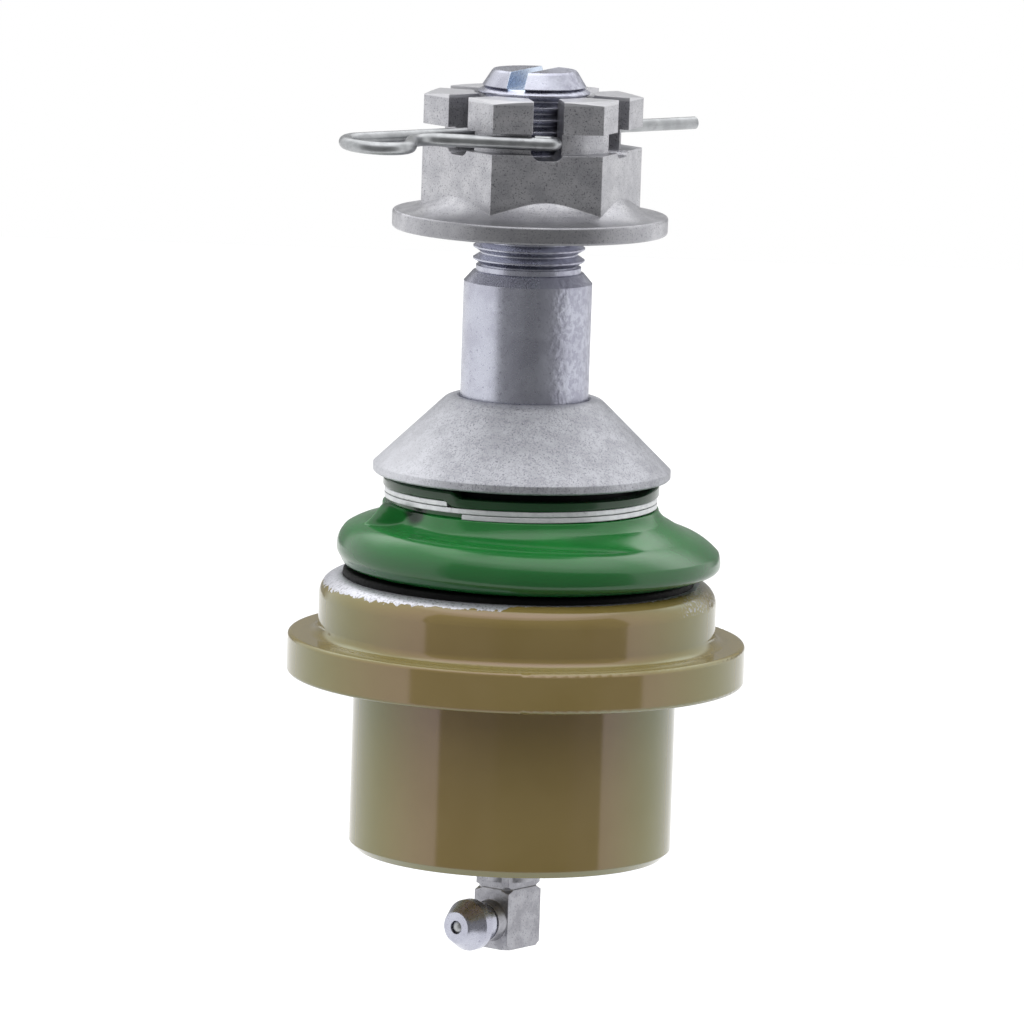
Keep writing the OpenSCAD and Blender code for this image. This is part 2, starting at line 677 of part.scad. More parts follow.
module grease_nipple() color("lightgray") on_nipple() rotate_extrude() difference() {
    band_end = nipple_cone_len + nipple_band_len;
    waist_r = boss_r - 0.15;
    union() {
        polygon([[0, 0], [nipple_face_r - 0.2, 0], [nipple_face_r, 0.2], [nipple_r, nipple_cone_len],
            [nipple_r, band_end], [waist_r, band_end + nipple_back_len],
            [waist_r, boss_start - fit_gap], [0, boss_start - fit_gap]]);
        band(0, nipple_shank_r, 1, nipple_shank_end);
    }
    polygon([[0, -over], [mouth_r, -over], [mouth_r, mouth_t], [nipple_bore_r, mouth_t + 0.55],
        [nipple_bore_r, nipple_reach], [0, nipple_reach]]);
}

module check_ball() color("white") on_nipple() translate([0, 0, check_s]) sphere(check_r);

module check_spring() color("silver") {
    low = check_s + check_r + check_wire_r;
    high = seat_washer_s - check_wire_r - fit_gap;
    on_nipple() translate([0, 0, low])
        coil([for (k = [0:7]) [-check_wire_r * cos(45 * k), check_wire_r * sin(45 * k)]],
            check_coil_r, (high - low) / check_spring_turns, check_spring_turns, 12, 0);
}

module spring_seat() color("silver") on_nipple() rotate_extrude()
    band(0.5, nipple_bore_r - fit_gap, seat_washer_s, seat_washer_s + seat_washer_t);

housing();
closing_ring();
upper_bearing();
lower_bearing();
pressure_plate();
disc_springs();
ball_stud();
taper_collar();
castle_nut();
hairpin_clip();
boot();
boot_foot_ring();
boot_clamp_ring();
grease_elbow();
grease_nipple();
check_ball();
check_spring();
spring_seat();
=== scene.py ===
"""Dresses a press-in suspension ball joint: its finishes, its moulded boot and the studio round it.

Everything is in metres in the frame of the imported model. Z runs up the joint's axis, the origin
is on the axis at the flange's underside, and -Y points at the viewer of the photograph. Sizes
whose names end in _mm are in millimetres, and so are all of the boot's.
"""
import logging
import math
from dataclasses import dataclass
from enum import Enum
from typing import NamedTuple

import bmesh
import bpy
import numpy as np
from mathutils import Matrix, Vector


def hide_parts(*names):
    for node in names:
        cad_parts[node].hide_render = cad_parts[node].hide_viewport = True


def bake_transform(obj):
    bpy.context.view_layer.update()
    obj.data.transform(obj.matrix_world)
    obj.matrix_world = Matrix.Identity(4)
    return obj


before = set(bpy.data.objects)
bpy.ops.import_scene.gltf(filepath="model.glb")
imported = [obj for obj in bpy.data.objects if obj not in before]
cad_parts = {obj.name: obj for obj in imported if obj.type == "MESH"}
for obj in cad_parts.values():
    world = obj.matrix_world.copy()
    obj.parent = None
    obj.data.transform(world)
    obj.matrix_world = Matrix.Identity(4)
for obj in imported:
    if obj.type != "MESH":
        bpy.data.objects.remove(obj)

LOG = logging.getLogger("ball_joint")
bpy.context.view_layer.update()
MM = 0.001
WHITE = (1.0, 1.0, 1.0, 1.0)
# What a slope gives at its two limits
RISING = (0.0, 1.0)
FALLING = (1.0, 0.0)
# The settings of a MapRange node that eases its ends, and of a Mix node for colours
SMOOTH = {"interpolation_type": "SMOOTHSTEP"}
COLOUR = {"data_type": "RGBA"}

Tree = bpy.types.NodeTree
Node = bpy.types.Node
Socket = bpy.types.NodeSocket
Material = bpy.types.Material
Value = Node | Socket | float | tuple
Pair = tuple[float, float]
Triple = tuple[float, float, float]


class Body(Enum):
    """The joint's bodies, by name."""

    HOUSING = "housing"
    BEARING_CUP = "bearing_cup"
    BOOT_TOP = "boot_top"
    CHECK_BALL = "check_ball"


class Axis(Enum):
    """The frame's axes, by their place in a vector."""

    X = 0
    Y = 1
    Z = 2


def linear(hex_colour: str) -> tuple[float, float, float, float]:
    """Turns an sRGB hex value into linear light.

    Args:
        hex_colour: Six hex digits, with or without a leading hash.

    Returns:
        Red, green, blue and an alpha of 1.
    """
    digits = hex_colour.lstrip("#")
    parts = (int(digits[i:i + 2], 16) / 255 for i in (0, 2, 4))
    red, green, blue = (c / 12.92 if c <= 0.04045 else ((c + 0.055) / 1.055) ** 2.4 for c in parts)
    return (red, green, blue, 1.0)


def metres(sizes_mm: tuple[float, ...]) -> tuple[float, ...]:
    """Turns millimetres into metres."""
    return tuple(size * MM for size in sizes_mm)


def per_metre(size_mm: float) -> float:
    """Gives a texture's scale for blotches that are about that many millimetres across."""
    return 1.0 / (size_mm * MM)


def add(tree: Tree, kind: str, *inputs: Value, **details) -> Node:
    """Adds one node with its settings and links.

    Args:
        tree: The node tree that gets the node.
        kind: Blender's name for the node's type, without ShaderNode at its start.
        *inputs: What its first inputs in use get: a plain value, another node's output socket, or
            another node, which stands for the first of its outputs in use.
        **details: The node's own properties, whose names are lower case, and more of its inputs, by
            the socket's name with underscores for spaces.

    Returns:
        The new node.
    """
    node = tree.nodes.new("ShaderNode" + kind)
    for name in filter(str.islower, details):
        setattr(node, name, details[name])
    filled = list(zip((socket for socket in node.inputs if socket.enabled), inputs))
    filled += [(node.inputs[name.replace("_", " ")], details[name]) for name in details if not name.islower()]
    for socket, value in filled:
        if isinstance(value, Node):
            value = next(output for output in value.outputs if output.enabled)
        if isinstance(value, Socket):
            tree.links.new(value, socket)
        else:
            socket.default_value = value
    return node


def between(tree: Tree, value: Value, limits: Pair, soft: float) -> Node:
    """Gives 1 where a number lies between two limits and 0 outside, over soft edges.

    Args:
        tree: The node tree that gets the nodes.
        value: The number.
        limits: The limits.
        soft: How far either side of a limit its edge reaches.

    Returns:
        The last of its nodes.
    """
    low, high = limits
    rise = add(tree, "MapRange", value, low - soft, low + soft, **SMOOTH)
    fall = add(tree, "MapRange", value, high - soft, high + soft, *FALLING, **SMOOTH)
    return add(tree, "Math", rise, fall, operation="MULTIPLY")


def ramp(tree: Tree, place: Value, axis: Axis, limits_mm: Pair, ends: Pair = RISING) -> Node:
    """Maps a place's coordinate smoothly between two limits, and holds it level outside them.

    Args:
        tree: The node tree that gets the nodes.
        place: The place.
        axis: Which of its coordinates.
        limits_mm: Where the slope starts and ends.
        ends: What it gives at those two places.

    Returns:
        The last of its nodes.
    """
    along = add(tree, "SeparateXYZ", place).outputs[axis.value]
    return add(tree, "MapRange", along, *metres(limits_mm), *ends, **SMOOTH)


def clouds(tree: Tree, place: Value, size_mm: float, edges: Pair, ends: Pair = RISING, detail: float = 2.0,
           roughness: float = 0.5) -> Node:
    """Makes a noise pattern of blotches, and maps it smoothly from one of two edges to the other.

    Args:
        tree: The node tree that gets the nodes.
        place: The Object coordinates.
        size_mm: How large the blotches are.
        edges: Between which of the noise's values the slope lies.
        ends: What it gives at those two values.
        detail: How many finer layers the noise has.
        roughness: How strong those are.

    Returns:
        The last of its nodes.
    """
    pattern = add(tree, "TexNoise", place, per_metre(size_mm), detail, roughness)
    return add(tree, "MapRange", pattern, *edges, *ends, **SMOOTH)


def level_lines(tree: Tree, place: Value, height_mm: float, squeeze: float) -> Node:
    """Makes level lines of that height, which noise drawn out round the joint's axis gives.

    Args:
        tree: The node tree that gets the nodes.
        place: The Object coordinates.
        height_mm: How high the lines are.
        squeeze: How high they are for their length.

    Returns:
        The last of its nodes.
    """
    drawn = add(tree, "Mapping", place, Scale=(squeeze, squeeze, 1.0))
    return add(tree, "TexNoise", drawn, per_metre(height_mm))


def seen_directly(tree: Tree) -> Node:
    """Gives 1 for what the camera sees, also through a clear thing, and 0 for light that bounced."""
    path = add(tree, "LightPath").outputs
    return add(tree, "Math", path["Is Camera Ray"], path["Is Transmission Ray"], operation="MAXIMUM")


@dataclass(frozen=True)
class Finish:
    """What every finish has: a name and the tree that its shader is built in."""

    name: str

    def start(self) -> tuple[Material, Tree, Socket]:
        """Makes an empty material.

        Returns:
            The material, its tree and the Object coordinates.
        """
        material = bpy.data.materials.new(self.name)
        material.use_nodes = True
        tree = material.node_tree
        tree.nodes.clear()
        return material, tree, add(tree, "TexCoord").outputs["Object"]

    def material(self) -> Material:
        """Builds the material. Each kind of finish has its own way.

        Returns:
            The finished material.
        """
        raise NotImplementedError


@dataclass(frozen=True)
class GrainyMetal(Finish):
    """A coated, cast or drawn metal: nearly even to the eye, with a fine grain that breaks up its shine.

    Clouds shade it a little, and the grain makes small dark flecks and bumps. Turned metal has level
    lines and cast metal has fine cracks. Edges are eased, so that they catch the light.

    Attributes:
        light: The brighter of the clouds' two tones.
        dark: The darker one.
        fleck: The colour of the flecks and the cracks.
        rough: The roughness in the grain's lows and on its highs.
        cloud_mm: How large the clouds are.
        grain_mm: How large the grain is.
        fleck_share: Up to what height of the grain it shows as flecks.
        bump_mm: How high the grain stands.
        metallic: How far the eye sees bare metal and not its coat.
        lines_mm: How high the turned lines are, or 0 for none.
        edge_mm: How wide the eased edges are.
        crackle_mm: How large the pieces between the cracks are, or 0 for none.
        gloss: The shader's specular level, for what isn't metal.
    """

    light: str
    dark: str
    fleck: str
    rough: Pair
    cloud_mm: float
    grain_mm: float
    fleck_share: float
    bump_mm: float
    metallic: float = 0.9
    lines_mm: float = 0.0
    edge_mm: float = 0.15
    crackle_mm: float = 0.0
    gloss: float = 0.5

    CLOUD_EDGES = (0.35, 0.65)
    GRAIN_EDGES = (0.3, 0.7)
    FLECK_EDGES = (-0.10, 0.06)
    LINE_SQUEEZE = 0.04
    CELL_STRETCH = (1.0, 1.0, 0.5)
    CRACK_EDGES = (0.02, 0.12)
    CRACK_ENDS = (0.5, 0.0)
    CRACK_GAPS = (0.42, 0.58)

    def relief(self, tree: Tree, place: Value, grain: Node) -> Node:
        """Gives the height of the surface: the grain, and the turned lines where it has them.

        Args:
            tree: The node tree that gets the nodes.
            place: The Object coordinates.
            grain: The node of the grain's noise.

        Returns:
            The last of its nodes.
        """
        if not self.lines_mm:
            return grain
        lines = level_lines(tree, place, self.lines_mm, self.LINE_SQUEEZE)
        return add(tree, "Math", grain, lines, operation="ADD")

    def spread(self, tree: Tree, place: Value, grain: Node) -> Node:
        """Gives the roughness, which follows the grain."""
        return add(tree, "MapRange", grain, *self.GRAIN_EDGES, *self.rough, **SMOOTH)

    def cracks(self, tree: Tree, place: Value) -> Node:
        """Masks the cracks: the borders of tall cells that noise has bent, with gaps in them.

        Args:
            tree: The node tree that gets the nodes.
            place: The Object coordinates.

        Returns:
            The last of its nodes.
        """
        size = self.crackle_mm
        warp = add(tree, "TexNoise", place, per_metre(size)).outputs["Color"]
        bent = add(tree, "VectorMath", warp, metres((size, size, size)), place, operation="MULTIPLY_ADD")
        tall = add(tree, "Mapping", bent, Scale=self.CELL_STRETCH)
        cells = add(tree, "TexVoronoi", tall, per_metre(size), feature="DISTANCE_TO_EDGE")
        crack = add(tree, "MapRange", cells, *self.CRACK_EDGES, *self.CRACK_ENDS, **SMOOTH)
        kept = clouds(tree, place, size * 2.0, self.CRACK_GAPS)
        return add(tree, "Math", crack, kept, operation="MULTIPLY")

    def shade(self, tree: Tree, place: Value, grain: Node) -> Node:
        """Gives the colour: clouds between the two tones, and flecks where the grain is low.

        Args:
            tree: The node tree that gets the nodes.
            place: The Object coordinates.
            grain: The node of the grain's noise.

        Returns:
            The last of its nodes.
        """
        cloud = clouds(tree, place, self.cloud_mm, self.CLOUD_EDGES, detail=3.0, roughness=0.6)
        colour = add(tree, "Mix", cloud, linear(self.dark), linear(self.light), **COLOUR)
        edges = (self.fleck_share + edge for edge in self.FLECK_EDGES)
        speck = add(tree, "MapRange", grain, *edges, *FALLING, **SMOOTH)
        if self.crackle_mm:
            speck = add(tree, "Math", speck, self.cracks(tree, place), operation="MAXIMUM")
        return add(tree, "Mix", speck, colour, linear(self.fleck), **COLOUR)

    def material(self) -> Material:
        """Builds the material.

        Returns:
            The finished material.
        """
        material, tree, place = self.start()
        grain = add(tree, "TexNoise", place, per_metre(self.grain_mm), Detail=3.0, Roughness=0.65)
        eased = add(tree, "Bevel", self.edge_mm * MM, samples=4)
        bump = add(tree, "Bump", Height=self.relief(tree, place, grain), Distance=self.bump_mm * MM,
                   Strength=1.0, Normal=eased)
        shader = add(tree, "BsdfPrincipled", Base_Color=self.shade(tree, place, grain),
                     Metallic=self.metallic, Roughness=self.spread(tree, place, grain),
                     Specular_IOR_Level=self.gloss, Normal=bump)
        add(tree, "OutputMaterial", shader)
        return material


@dataclass(frozen=True)
class CastCollar(GrainyMetal):
    """Tumbled die-cast metal, with painted shade under its rim and on the spigot, and painted light at its
    left.
    """

    rim_shade_z_mm: Pair = (25.63, 25.73)
    painted_shade: str = "#0b0c0d"
    painted_light: str = "#e8e9ee"
    painted_light_x_mm: Pair = (-17.0, -7.0)
    painted_light_share: float = 0.38

    def shade(self, tree: Tree, place: Value, grain: Node) -> Node:
        """Gives the casting's colour, with painted light paling its left side and painted shade below its
        rim.

        Args:
            tree: The node tree that gets the nodes.
            place: The Object coordinates.
            grain: The node of the grain's noise.

        Returns:
            The last of its nodes.
        """
        # Painted light: the left side is lightened where the side light falls on it.
        left = ramp(tree, place, Axis.X, self.painted_light_x_mm, (self.painted_light_share, 0.0))
        # Painted shade: near black below the rim, where the gap over the boot's lip lies in shadow.
        under = ramp(tree, place, Axis.Z, self.rim_shade_z_mm, FALLING)
        cast = add(tree, "Mix", left, super().shade(tree, place, grain), linear(self.painted_light), **COLOUR)
        return add(tree, "Mix", under, cast, linear(self.painted_shade), **COLOUR)


@dataclass(frozen=True)
class PaintedLightNut(GrainyMetal):
    """A flake coat, with a painted highlight on top of the prongs and painted shade on the flange's front."""

    painted_highlight_z_mm: Pair = (73.18, 73.35)
    # Painted highlight: the colour that the prongs' tops are lightened to, for the light they catch.
    bright: str = "#cacace"
    painted_shade_z_mm: Pair = (60.0, 61.5)
    painted_shade_y_mm: Pair = (-14.0, -7.0)
    front_shade: str = "#77777b"
    front_shade_share: float = 0.6

    def shade(self, tree: Tree, place: Value, grain: Node) -> Node:
        """Gives the coat's colour: a painted highlight where the prongs' tops begin, painted shade low at the
        front.

        Args:
            tree: The node tree that gets the nodes.
            place: The Object coordinates.
            grain: The node of the grain's noise.

        Returns:
            The last of its nodes.
        """
        # Painted shade: the front of the flange, low down, is darkened to damp its shine.
        low = ramp(tree, place, Axis.Z, self.painted_shade_z_mm, FALLING)
        front = ramp(tree, place, Axis.Y, self.painted_shade_y_mm, (self.front_shade_share, 0.0))
        shaded_front = add(tree, "Math", low, front, operation="MULTIPLY")
        coat = add(tree, "Mix", shaded_front, super().shade(tree, place, grain), linear(self.front_shade), **COLOUR)
        # Painted highlight on the prongs' tops.
        top = ramp(tree, place, Axis.Z, self.painted_highlight_z_mm)
        return add(tree, "Mix", top, coat, linear(self.bright), **COLOUR)


@dataclass(frozen=True)
class PlatedStud(GrainyMetal):
    """Zinc plate with a bright clear passivation, which stays blue where it pooled in the tip's slot.

    The shank's left was ground, and its right side still has dints and a rougher skin from the forge.
    """

    blue: str = "#ccdaec"
    blue_share: float = 0.8
    slot_turn: float = -112.0
    slot_half_mm: float = 1.2
    slot_wall_mm: float = 0.02
    slot_floor_mm: Pair = (74.35, 74.45)
    dint_mm: float = 0.9
    dint_height: float = 10.0
    dint_edges: Pair = (0.42, 0.56)
    dint_shade: float = 0.6
    forged_height_x_mm: Pair = (1.0, 4.0)
    forged_rough_x_mm: Pair = (1.2, 2.4)
    forged_shade_x_mm: Pair = (2.5, 4.5)
    forged_rough: float = 0.1

    def relief(self, tree: Tree, place: Value, grain: Node) -> Node:
        """Gives the height: the grain, and the forge's dints down the right side.

        Args:
            tree: The node tree that gets the nodes.
            place: The Object coordinates.
            grain: The node of the grain's noise.

        Returns:
            The last of its nodes.
        """
        dints = add(tree, "TexNoise", place, per_metre(self.dint_mm))
        right = ramp(tree, place, Axis.X, self.forged_height_x_mm)
        dints = add(tree, "Math", dints, right, operation="MULTIPLY")
        return add(tree, "Math", dints, self.dint_height, grain, operation="MULTIPLY_ADD")

    def spread(self, tree: Tree, place: Value, grain: Node) -> Node:
        """Gives the roughness, higher down the right side."""
        right = ramp(tree, place, Axis.X, self.forged_rough_x_mm, (0.0, self.forged_rough))
        return add(tree, "Math", super().spread(tree, place, grain), right, operation="ADD")

    def shade(self, tree: Tree, place: Value, grain: Node) -> Node:
        """Gives the plate's colour, darker in the dints and blue on the slot's walls and floor.

        Args:
            tree: The node tree that gets the nodes.
            place: The Object coordinates.
            grain: The node of the grain's noise.

        Returns:
            The last of its nodes.
        """
        dints = clouds(tree, place, self.dint_mm, self.dint_edges, (self.dint_shade, 0.0), detail=3.0,
                       roughness=0.6)
        right = ramp(tree, place, Axis.X, self.forged_shade_x_mm)
        dinted = add(tree, "Math", dints, right, operation="MULTIPLY")
        plate = add(tree, "Mix", dinted, super().shade(tree, place, grain), linear(self.fleck), **COLOUR)
        return add(tree, "Mix", self.pooled(tree, place), plate, linear(self.blue), **COLOUR)

    def pooled(self, tree: Tree, place: Value) -> Node:
        """Masks the slot, above its floor and between its walls, once it is turned to lie along X.

        Args:
            tree: The node tree that gets the nodes.
            place: The Object coordinates.

        Returns:
            The last of its nodes.
        """
        turned = add(tree, "Mapping", place, Rotation=(0, 0, -math.radians(self.slot_turn)))
        across = add(tree, "SeparateXYZ", turned).outputs[Axis.Y.value]
        walls = metres((-self.slot_half_mm, self.slot_half_mm))
        inside = between(tree, across, walls, self.slot_wall_mm * MM)
        above = ramp(tree, place, Axis.Z, self.slot_floor_mm)
        slot = add(tree, "Math", inside, above, operation="MULTIPLY")
        return add(tree, "Math", slot, self.blue_share, operation="MULTIPLY")


@dataclass(frozen=True)
class GlossPaint(Finish):
    """Stoved gloss paint on steel, scraped to bare metal where the press rolled the lip in.

    Its clear top film tints the shine a little, pink face on and green towards the edges. Bare metal
    shows grey and grainy, and stands lower than the paint.

    Attributes:
        paint: The paint's colour.
        thin: Its colour where it lies thinner.
        metal: The bare metal's colour.
        worn: Its colour in the grain's lows.
        film_nm: The clear film's thickness.
        lip_r_mm: The radius of the rolled lip's inner edge.
        lip_z_mm: Over what height the lip's roll begins.
        band_mm: How wide the bare band is from the lip's edge, at its left end and its right.
        band_x_mm: Between which places its width falls.
        thread_x_mm: Between which places it ends.
        ragged_mm: How large the notches in its border are.
        notch_mm: How deep they are.
        pit_mm: How large the pits at the right are.
        pitted_x_mm: Between which places they begin.
        pitted_ragged_mm: How far the noise moves that start.
    """

    paint: str = "#756636"
    thin: str = "#796a3c"
    metal: str = "#d2d2da"
    worn: str = "#a2a2a9"
    roughness: float = 0.10
    bare_roughness: float = 0.4
    bare_metallic: float = 0.7
    paint_ior: float = 1.72
    film_ior: float = 1.65
    film_nm: float = 568.0
    lip_r_mm: float = 22.1
    lip_z_mm: Pair = (10.2, 10.5)
    band_mm: Pair = (1.75, 1.26)
    band_x_mm: Pair = (-22.0, -6.0)
    thread_x_mm: Pair = (-2.5, 0.5)
    border_mm: float = 0.03
    ragged_mm: float = 0.9
    notch_mm: float = 1.3
    pit_mm: float = 0.4
    pit_edges: Pair = (0.52, 0.58)
    pit_share: float = 0.5
    pitted_x_mm: Pair = (21.5, 23.0)
    pitted_ragged_mm: float = 3.0
    cloud_mm: float = 9.0
    cloud_edges: Pair = (0.3, 0.7)
    grain_mm: float = 0.35
    grain_edges: Pair = (0.35, 0.5)
    peel_mm: float = 2.2
    peel_height: float = 0.15
    relief_mm: float = 0.03
    relief_strength: float = 0.6
    edge_mm: float = 0.2

    def band(self, tree: Tree, place: Value, ragged: Node) -> Node:
        """Masks the bare band, from the lip's inner edge out to a ragged border nearer at the right.

        Args:
            tree: The node tree that gets the nodes.
            place: The Object coordinates.
            ragged: The node of the noise that makes the border ragged.

        Returns:
            The last of its nodes.
        """
        flat = add(tree, "VectorMath", place, (1.0, 1.0, 0.0), operation="MULTIPLY")
        radius = add(tree, "VectorMath", flat, operation="LENGTH")
        wide = ramp(tree, place, Axis.X, self.band_x_mm, metres(self.band_mm))
        thread = ramp(tree, place, Axis.X, self.thread_x_mm, FALLING)
        reach = add(tree, "Math", wide, thread, operation="MULTIPLY")
        border = add(tree, "Math", reach, self.lip_r_mm * MM, operation="ADD")
        border = add(tree, "Math", ragged, self.notch_mm * MM, border, operation="MULTIPLY_ADD")
        inside = add(tree, "Math", border, radius, operation="SUBTRACT")
        return add(tree, "MapRange", inside, *metres((-self.border_mm, self.border_mm)), **SMOOTH)

    def scraped(self, tree: Tree, place: Value) -> Node:
        """Masks the lip's bare metal: wide at the left, a thread at the front, pitted at the right.

        Args:
            tree: The node tree that gets the nodes.
            place: The Object coordinates.

        Returns:
            The last of its nodes.
        """
        ragged = add(tree, "TexNoise", place, per_metre(self.ragged_mm), Detail=4.0, Roughness=0.6)
        pits = clouds(tree, place, self.pit_mm, self.pit_edges, (0.0, self.pit_share), detail=4.0,
                      roughness=0.75)
        east = add(tree, "SeparateXYZ", place).outputs[Axis.X.value]
        east = add(tree, "Math", ragged, self.pitted_ragged_mm * MM, east, operation="MULTIPLY_ADD")
        right = add(tree, "MapRange", east, *metres(self.pitted_x_mm), **SMOOTH)
        pitted = add(tree, "Math", pits, right, operation="MULTIPLY")
        bare = add(tree, "Math", self.band(tree, place, ragged), pitted, operation="MAXIMUM")
        return add(tree, "Math", bare, ramp(tree, place, Axis.Z, self.lip_z_mm), operation="MULTIPLY")

    def material(self) -> Material:
        """Builds the material.

        Returns:
            The finished material.
        """
        material, tree, place = self.start()
        bare = self.scraped(tree, place)
        cloud = clouds(tree, place, self.cloud_mm, self.cloud_edges)
        grain = clouds(tree, place, self.grain_mm, self.grain_edges, detail=3.0, roughness=0.6)
        coat = add(tree, "Mix", cloud, linear(self.paint), linear(self.thin), **COLOUR)
        steel = add(tree, "Mix", grain, linear(self.worn), linear(self.metal), **COLOUR)
        peel = add(tree, "TexNoise", place, per_metre(self.peel_mm))
        peel = add(tree, "Math", peel, self.peel_height, operation="MULTIPLY")
        relief = add(tree, "Math", bare, -1.0, peel, operation="MULTIPLY_ADD")
        eased = add(tree, "Bevel", self.edge_mm * MM, samples=4)
        shader = add(
            tree, "BsdfPrincipled", add(tree, "Mix", bare, coat, steel, **COLOUR),
            IOR=self.paint_ior, Thin_Film_IOR=self.film_ior, Thin_Film_Thickness=self.film_nm,
            Metallic=add(tree, "Math", bare, self.bare_metallic, operation="MULTIPLY"),
            Roughness=add(tree, "MapRange", bare, 0.0, 1.0, self.roughness, self.bare_roughness, **SMOOTH),
            Normal=add(tree, "Bump", Height=relief, Distance=self.relief_mm * MM,
                       Strength=self.relief_strength, Normal=eased))
        add(tree, "OutputMaterial", shader)
        return material


@dataclass(frozen=True)
class BootRubber(Finish):
    """Glossy moulded polyurethane: deep green, brighter where it is stretched thin, with painted shade in the
    lip.

    Painted shade, near black, fills the pocket beside the fold, under the clamp ring. The skin's shine
    is a little uneven, more so in level lines.
    """

    deep: str = "#195526"
    bright: str = "#1c6d2e"
    lip_shade: str = "#12391b"
    painted_shade: str = "#06100a"
    thin_z_mm: Pair = (16.0, 20.0)
    lip_z_mm: Pair = (22.0, 23.0)
    pocket_mm: Triple = (-13.0, -10.9, 21.9)
    pocket_reach_mm: Pair = (0.9, 2.0)
    pocket_share: float = 0.9
    cloud_mm: float = 6.0
    cloud_edges: Pair = (0.3, 0.7)
    cloud_ends: Pair = (0.6, 1.0)
    dimple_mm: float = 1.6
    line_mm: float = 0.8
    line_squeeze: float = 0.12
    relief_mm: float = 0.03
    relief_strength: float = 0.5
    roughness: float = 0.19
    glow_share: float = 0.1
    glow_mm: float = 1.5

    def shade(self, tree: Tree, place: Value) -> Node:
        """Gives the colour, by the height and the clouds, with painted shade in the lip and round the pocket.

        Args:
            tree: The node tree that gets the nodes.
            place: The Object coordinates.

        Returns:
            The last of its nodes.
        """
        cloud = clouds(tree, place, self.cloud_mm, self.cloud_edges, self.cloud_ends)
        thin = add(tree, "Math", ramp(tree, place, Axis.Z, self.thin_z_mm), cloud, operation="MULTIPLY")
        colour = add(tree, "Mix", thin, linear(self.deep), linear(self.bright), **COLOUR)
        # Painted shade: the lip is darkened, as the collar's overhang shades it.
        lip = ramp(tree, place, Axis.Z, self.lip_z_mm)
        colour = add(tree, "Mix", lip, colour, linear(self.lip_shade), **COLOUR)
        # Painted shade: near black round the pocket beside the fold, which lies in shadow under the ring.
        away = add(tree, "VectorMath", place, metres(self.pocket_mm), operation="DISTANCE")
        pocket_shade = add(tree, "MapRange", away, *metres(self.pocket_reach_mm), self.pocket_share, 0.0, **SMOOTH)
        return add(tree, "Mix", pocket_shade, colour, linear(self.painted_shade), **COLOUR)

    def material(self) -> Material:
        """Builds the material.

        Returns:
            The finished material.
        """
        material, tree, place = self.start()
        dimples = add(tree, "TexNoise", place, per_metre(self.dimple_mm))
        lines = level_lines(tree, place, self.line_mm, self.line_squeeze)
        skin = add(tree, "Math", dimples, lines, operation="ADD")
        bump = add(tree, "Bump", Height=skin, Distance=self.relief_mm * MM, Strength=self.relief_strength)
        shader = add(tree, "BsdfPrincipled", self.shade(tree, place), Roughness=self.roughness, Normal=bump,
                     Subsurface_Weight=self.glow_share, Subsurface_Scale=self.glow_mm * MM)
        add(tree, "OutputMaterial", shader)
        return material


@dataclass(frozen=True)
class StudioWhite(Finish):
    """Matt white paper for the floor, pure white to the camera and in reflections.

    Attributes:
        paper: What the paper reflects. It keeps the object's shadow.
        glow: What is added to it in view, so that the lit paper comes to white.
    """

    paper: str = "#c0c0c0"
    glow: float = 0.42

    def material(self) -> Material:
        """Builds the material: a diffuse sheet, shown white where the camera or a gloss sees it.

        Returns:
            The finished material.
        """
        material, tree, _ = self.start()
        mirrored = add(tree, "LightPath").outputs["Is Glossy Ray"]
        seen = add(tree, "Math", seen_directly(tree), mirrored, operation="MAXIMUM")
        sheet = add(tree, "BsdfDiffuse", linear(self.paper))
        lit = add(tree, "AddShader", sheet, add(tree, "Emission", WHITE, self.glow))
        add(tree, "OutputMaterial", add(tree, "MixShader", seen, sheet, lit))
        return material


def dress(node: str, material: Material) -> None:
    """Gives a CAD node its finish.

    Args:
        node: The node's name.
        material: The material for all of it.
    """
    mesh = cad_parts[node].data
    if not mesh.materials:
        mesh.materials.append(material)
    for index in range(len(mesh.materials)):
        mesh.materials[index] = material
    LOG.info("%s dressed in %s", node, material.name)


def show(name: str, mesh: bpy.types.Mesh) -> bpy.types.Object:
    """Makes an object of a mesh and links it to the scene.

    Args:
        name: The object's name.
        mesh: Its mesh.

    Returns:
        The new object.
    """
    piece = bpy.data.objects.new(name, mesh)
    bpy.context.scene.collection.objects.link(piece)
    return piece


def grid_mesh(name: str, points: np.ndarray, material: Material) -> bpy.types.Mesh:
    """Makes a smooth closed mesh from a grid of points that wraps both ways.

    Args:
        name: The mesh's name.
        points: An array of rows, columns and three coordinates in metres.
        material: Its finish.

    Returns:
        The new mesh.
    """
    rows, columns = points.shape[:2]
    here = np.arange(rows * columns).reshape(rows, columns)
    down = np.roll(here, -1, 0)
    quads = np.stack([here, np.roll(here, -1, 1), np.roll(down, -1, 1), down], -1).reshape(-1, 4)
    mesh = bpy.data.meshes.new(name)
    mesh.vertices.add(rows * columns)
    mesh.vertices.foreach_set("co", points.reshape(-1).astype(np.float32))
    mesh.loops.add(quads.size)
    mesh.loops.foreach_set("vertex_index", quads.reshape(-1).astype(np.int32))
    mesh.polygons.add(len(quads))
    mesh.polygons.foreach_set("loop_start", np.arange(0, quads.size, 4, dtype=np.int32))
    mesh.polygons.foreach_set("use_smooth", np.ones(len(quads), bool))
    mesh.update(calc_edges=True)
    mesh.validate()
    mesh.materials.append(material)
    return mesh


def smooth_step(low: float, high: float, value: np.ndarray) -> np.ndarray:
    """Rises from 0 at low to 1 at high with level ends: 3t^2 - 2t^3 of the share t of the way."""
    t = np.clip((value - low) / (high - low), 0.0, 1.0)
    return t * t * (3.0 - 2.0 * t)


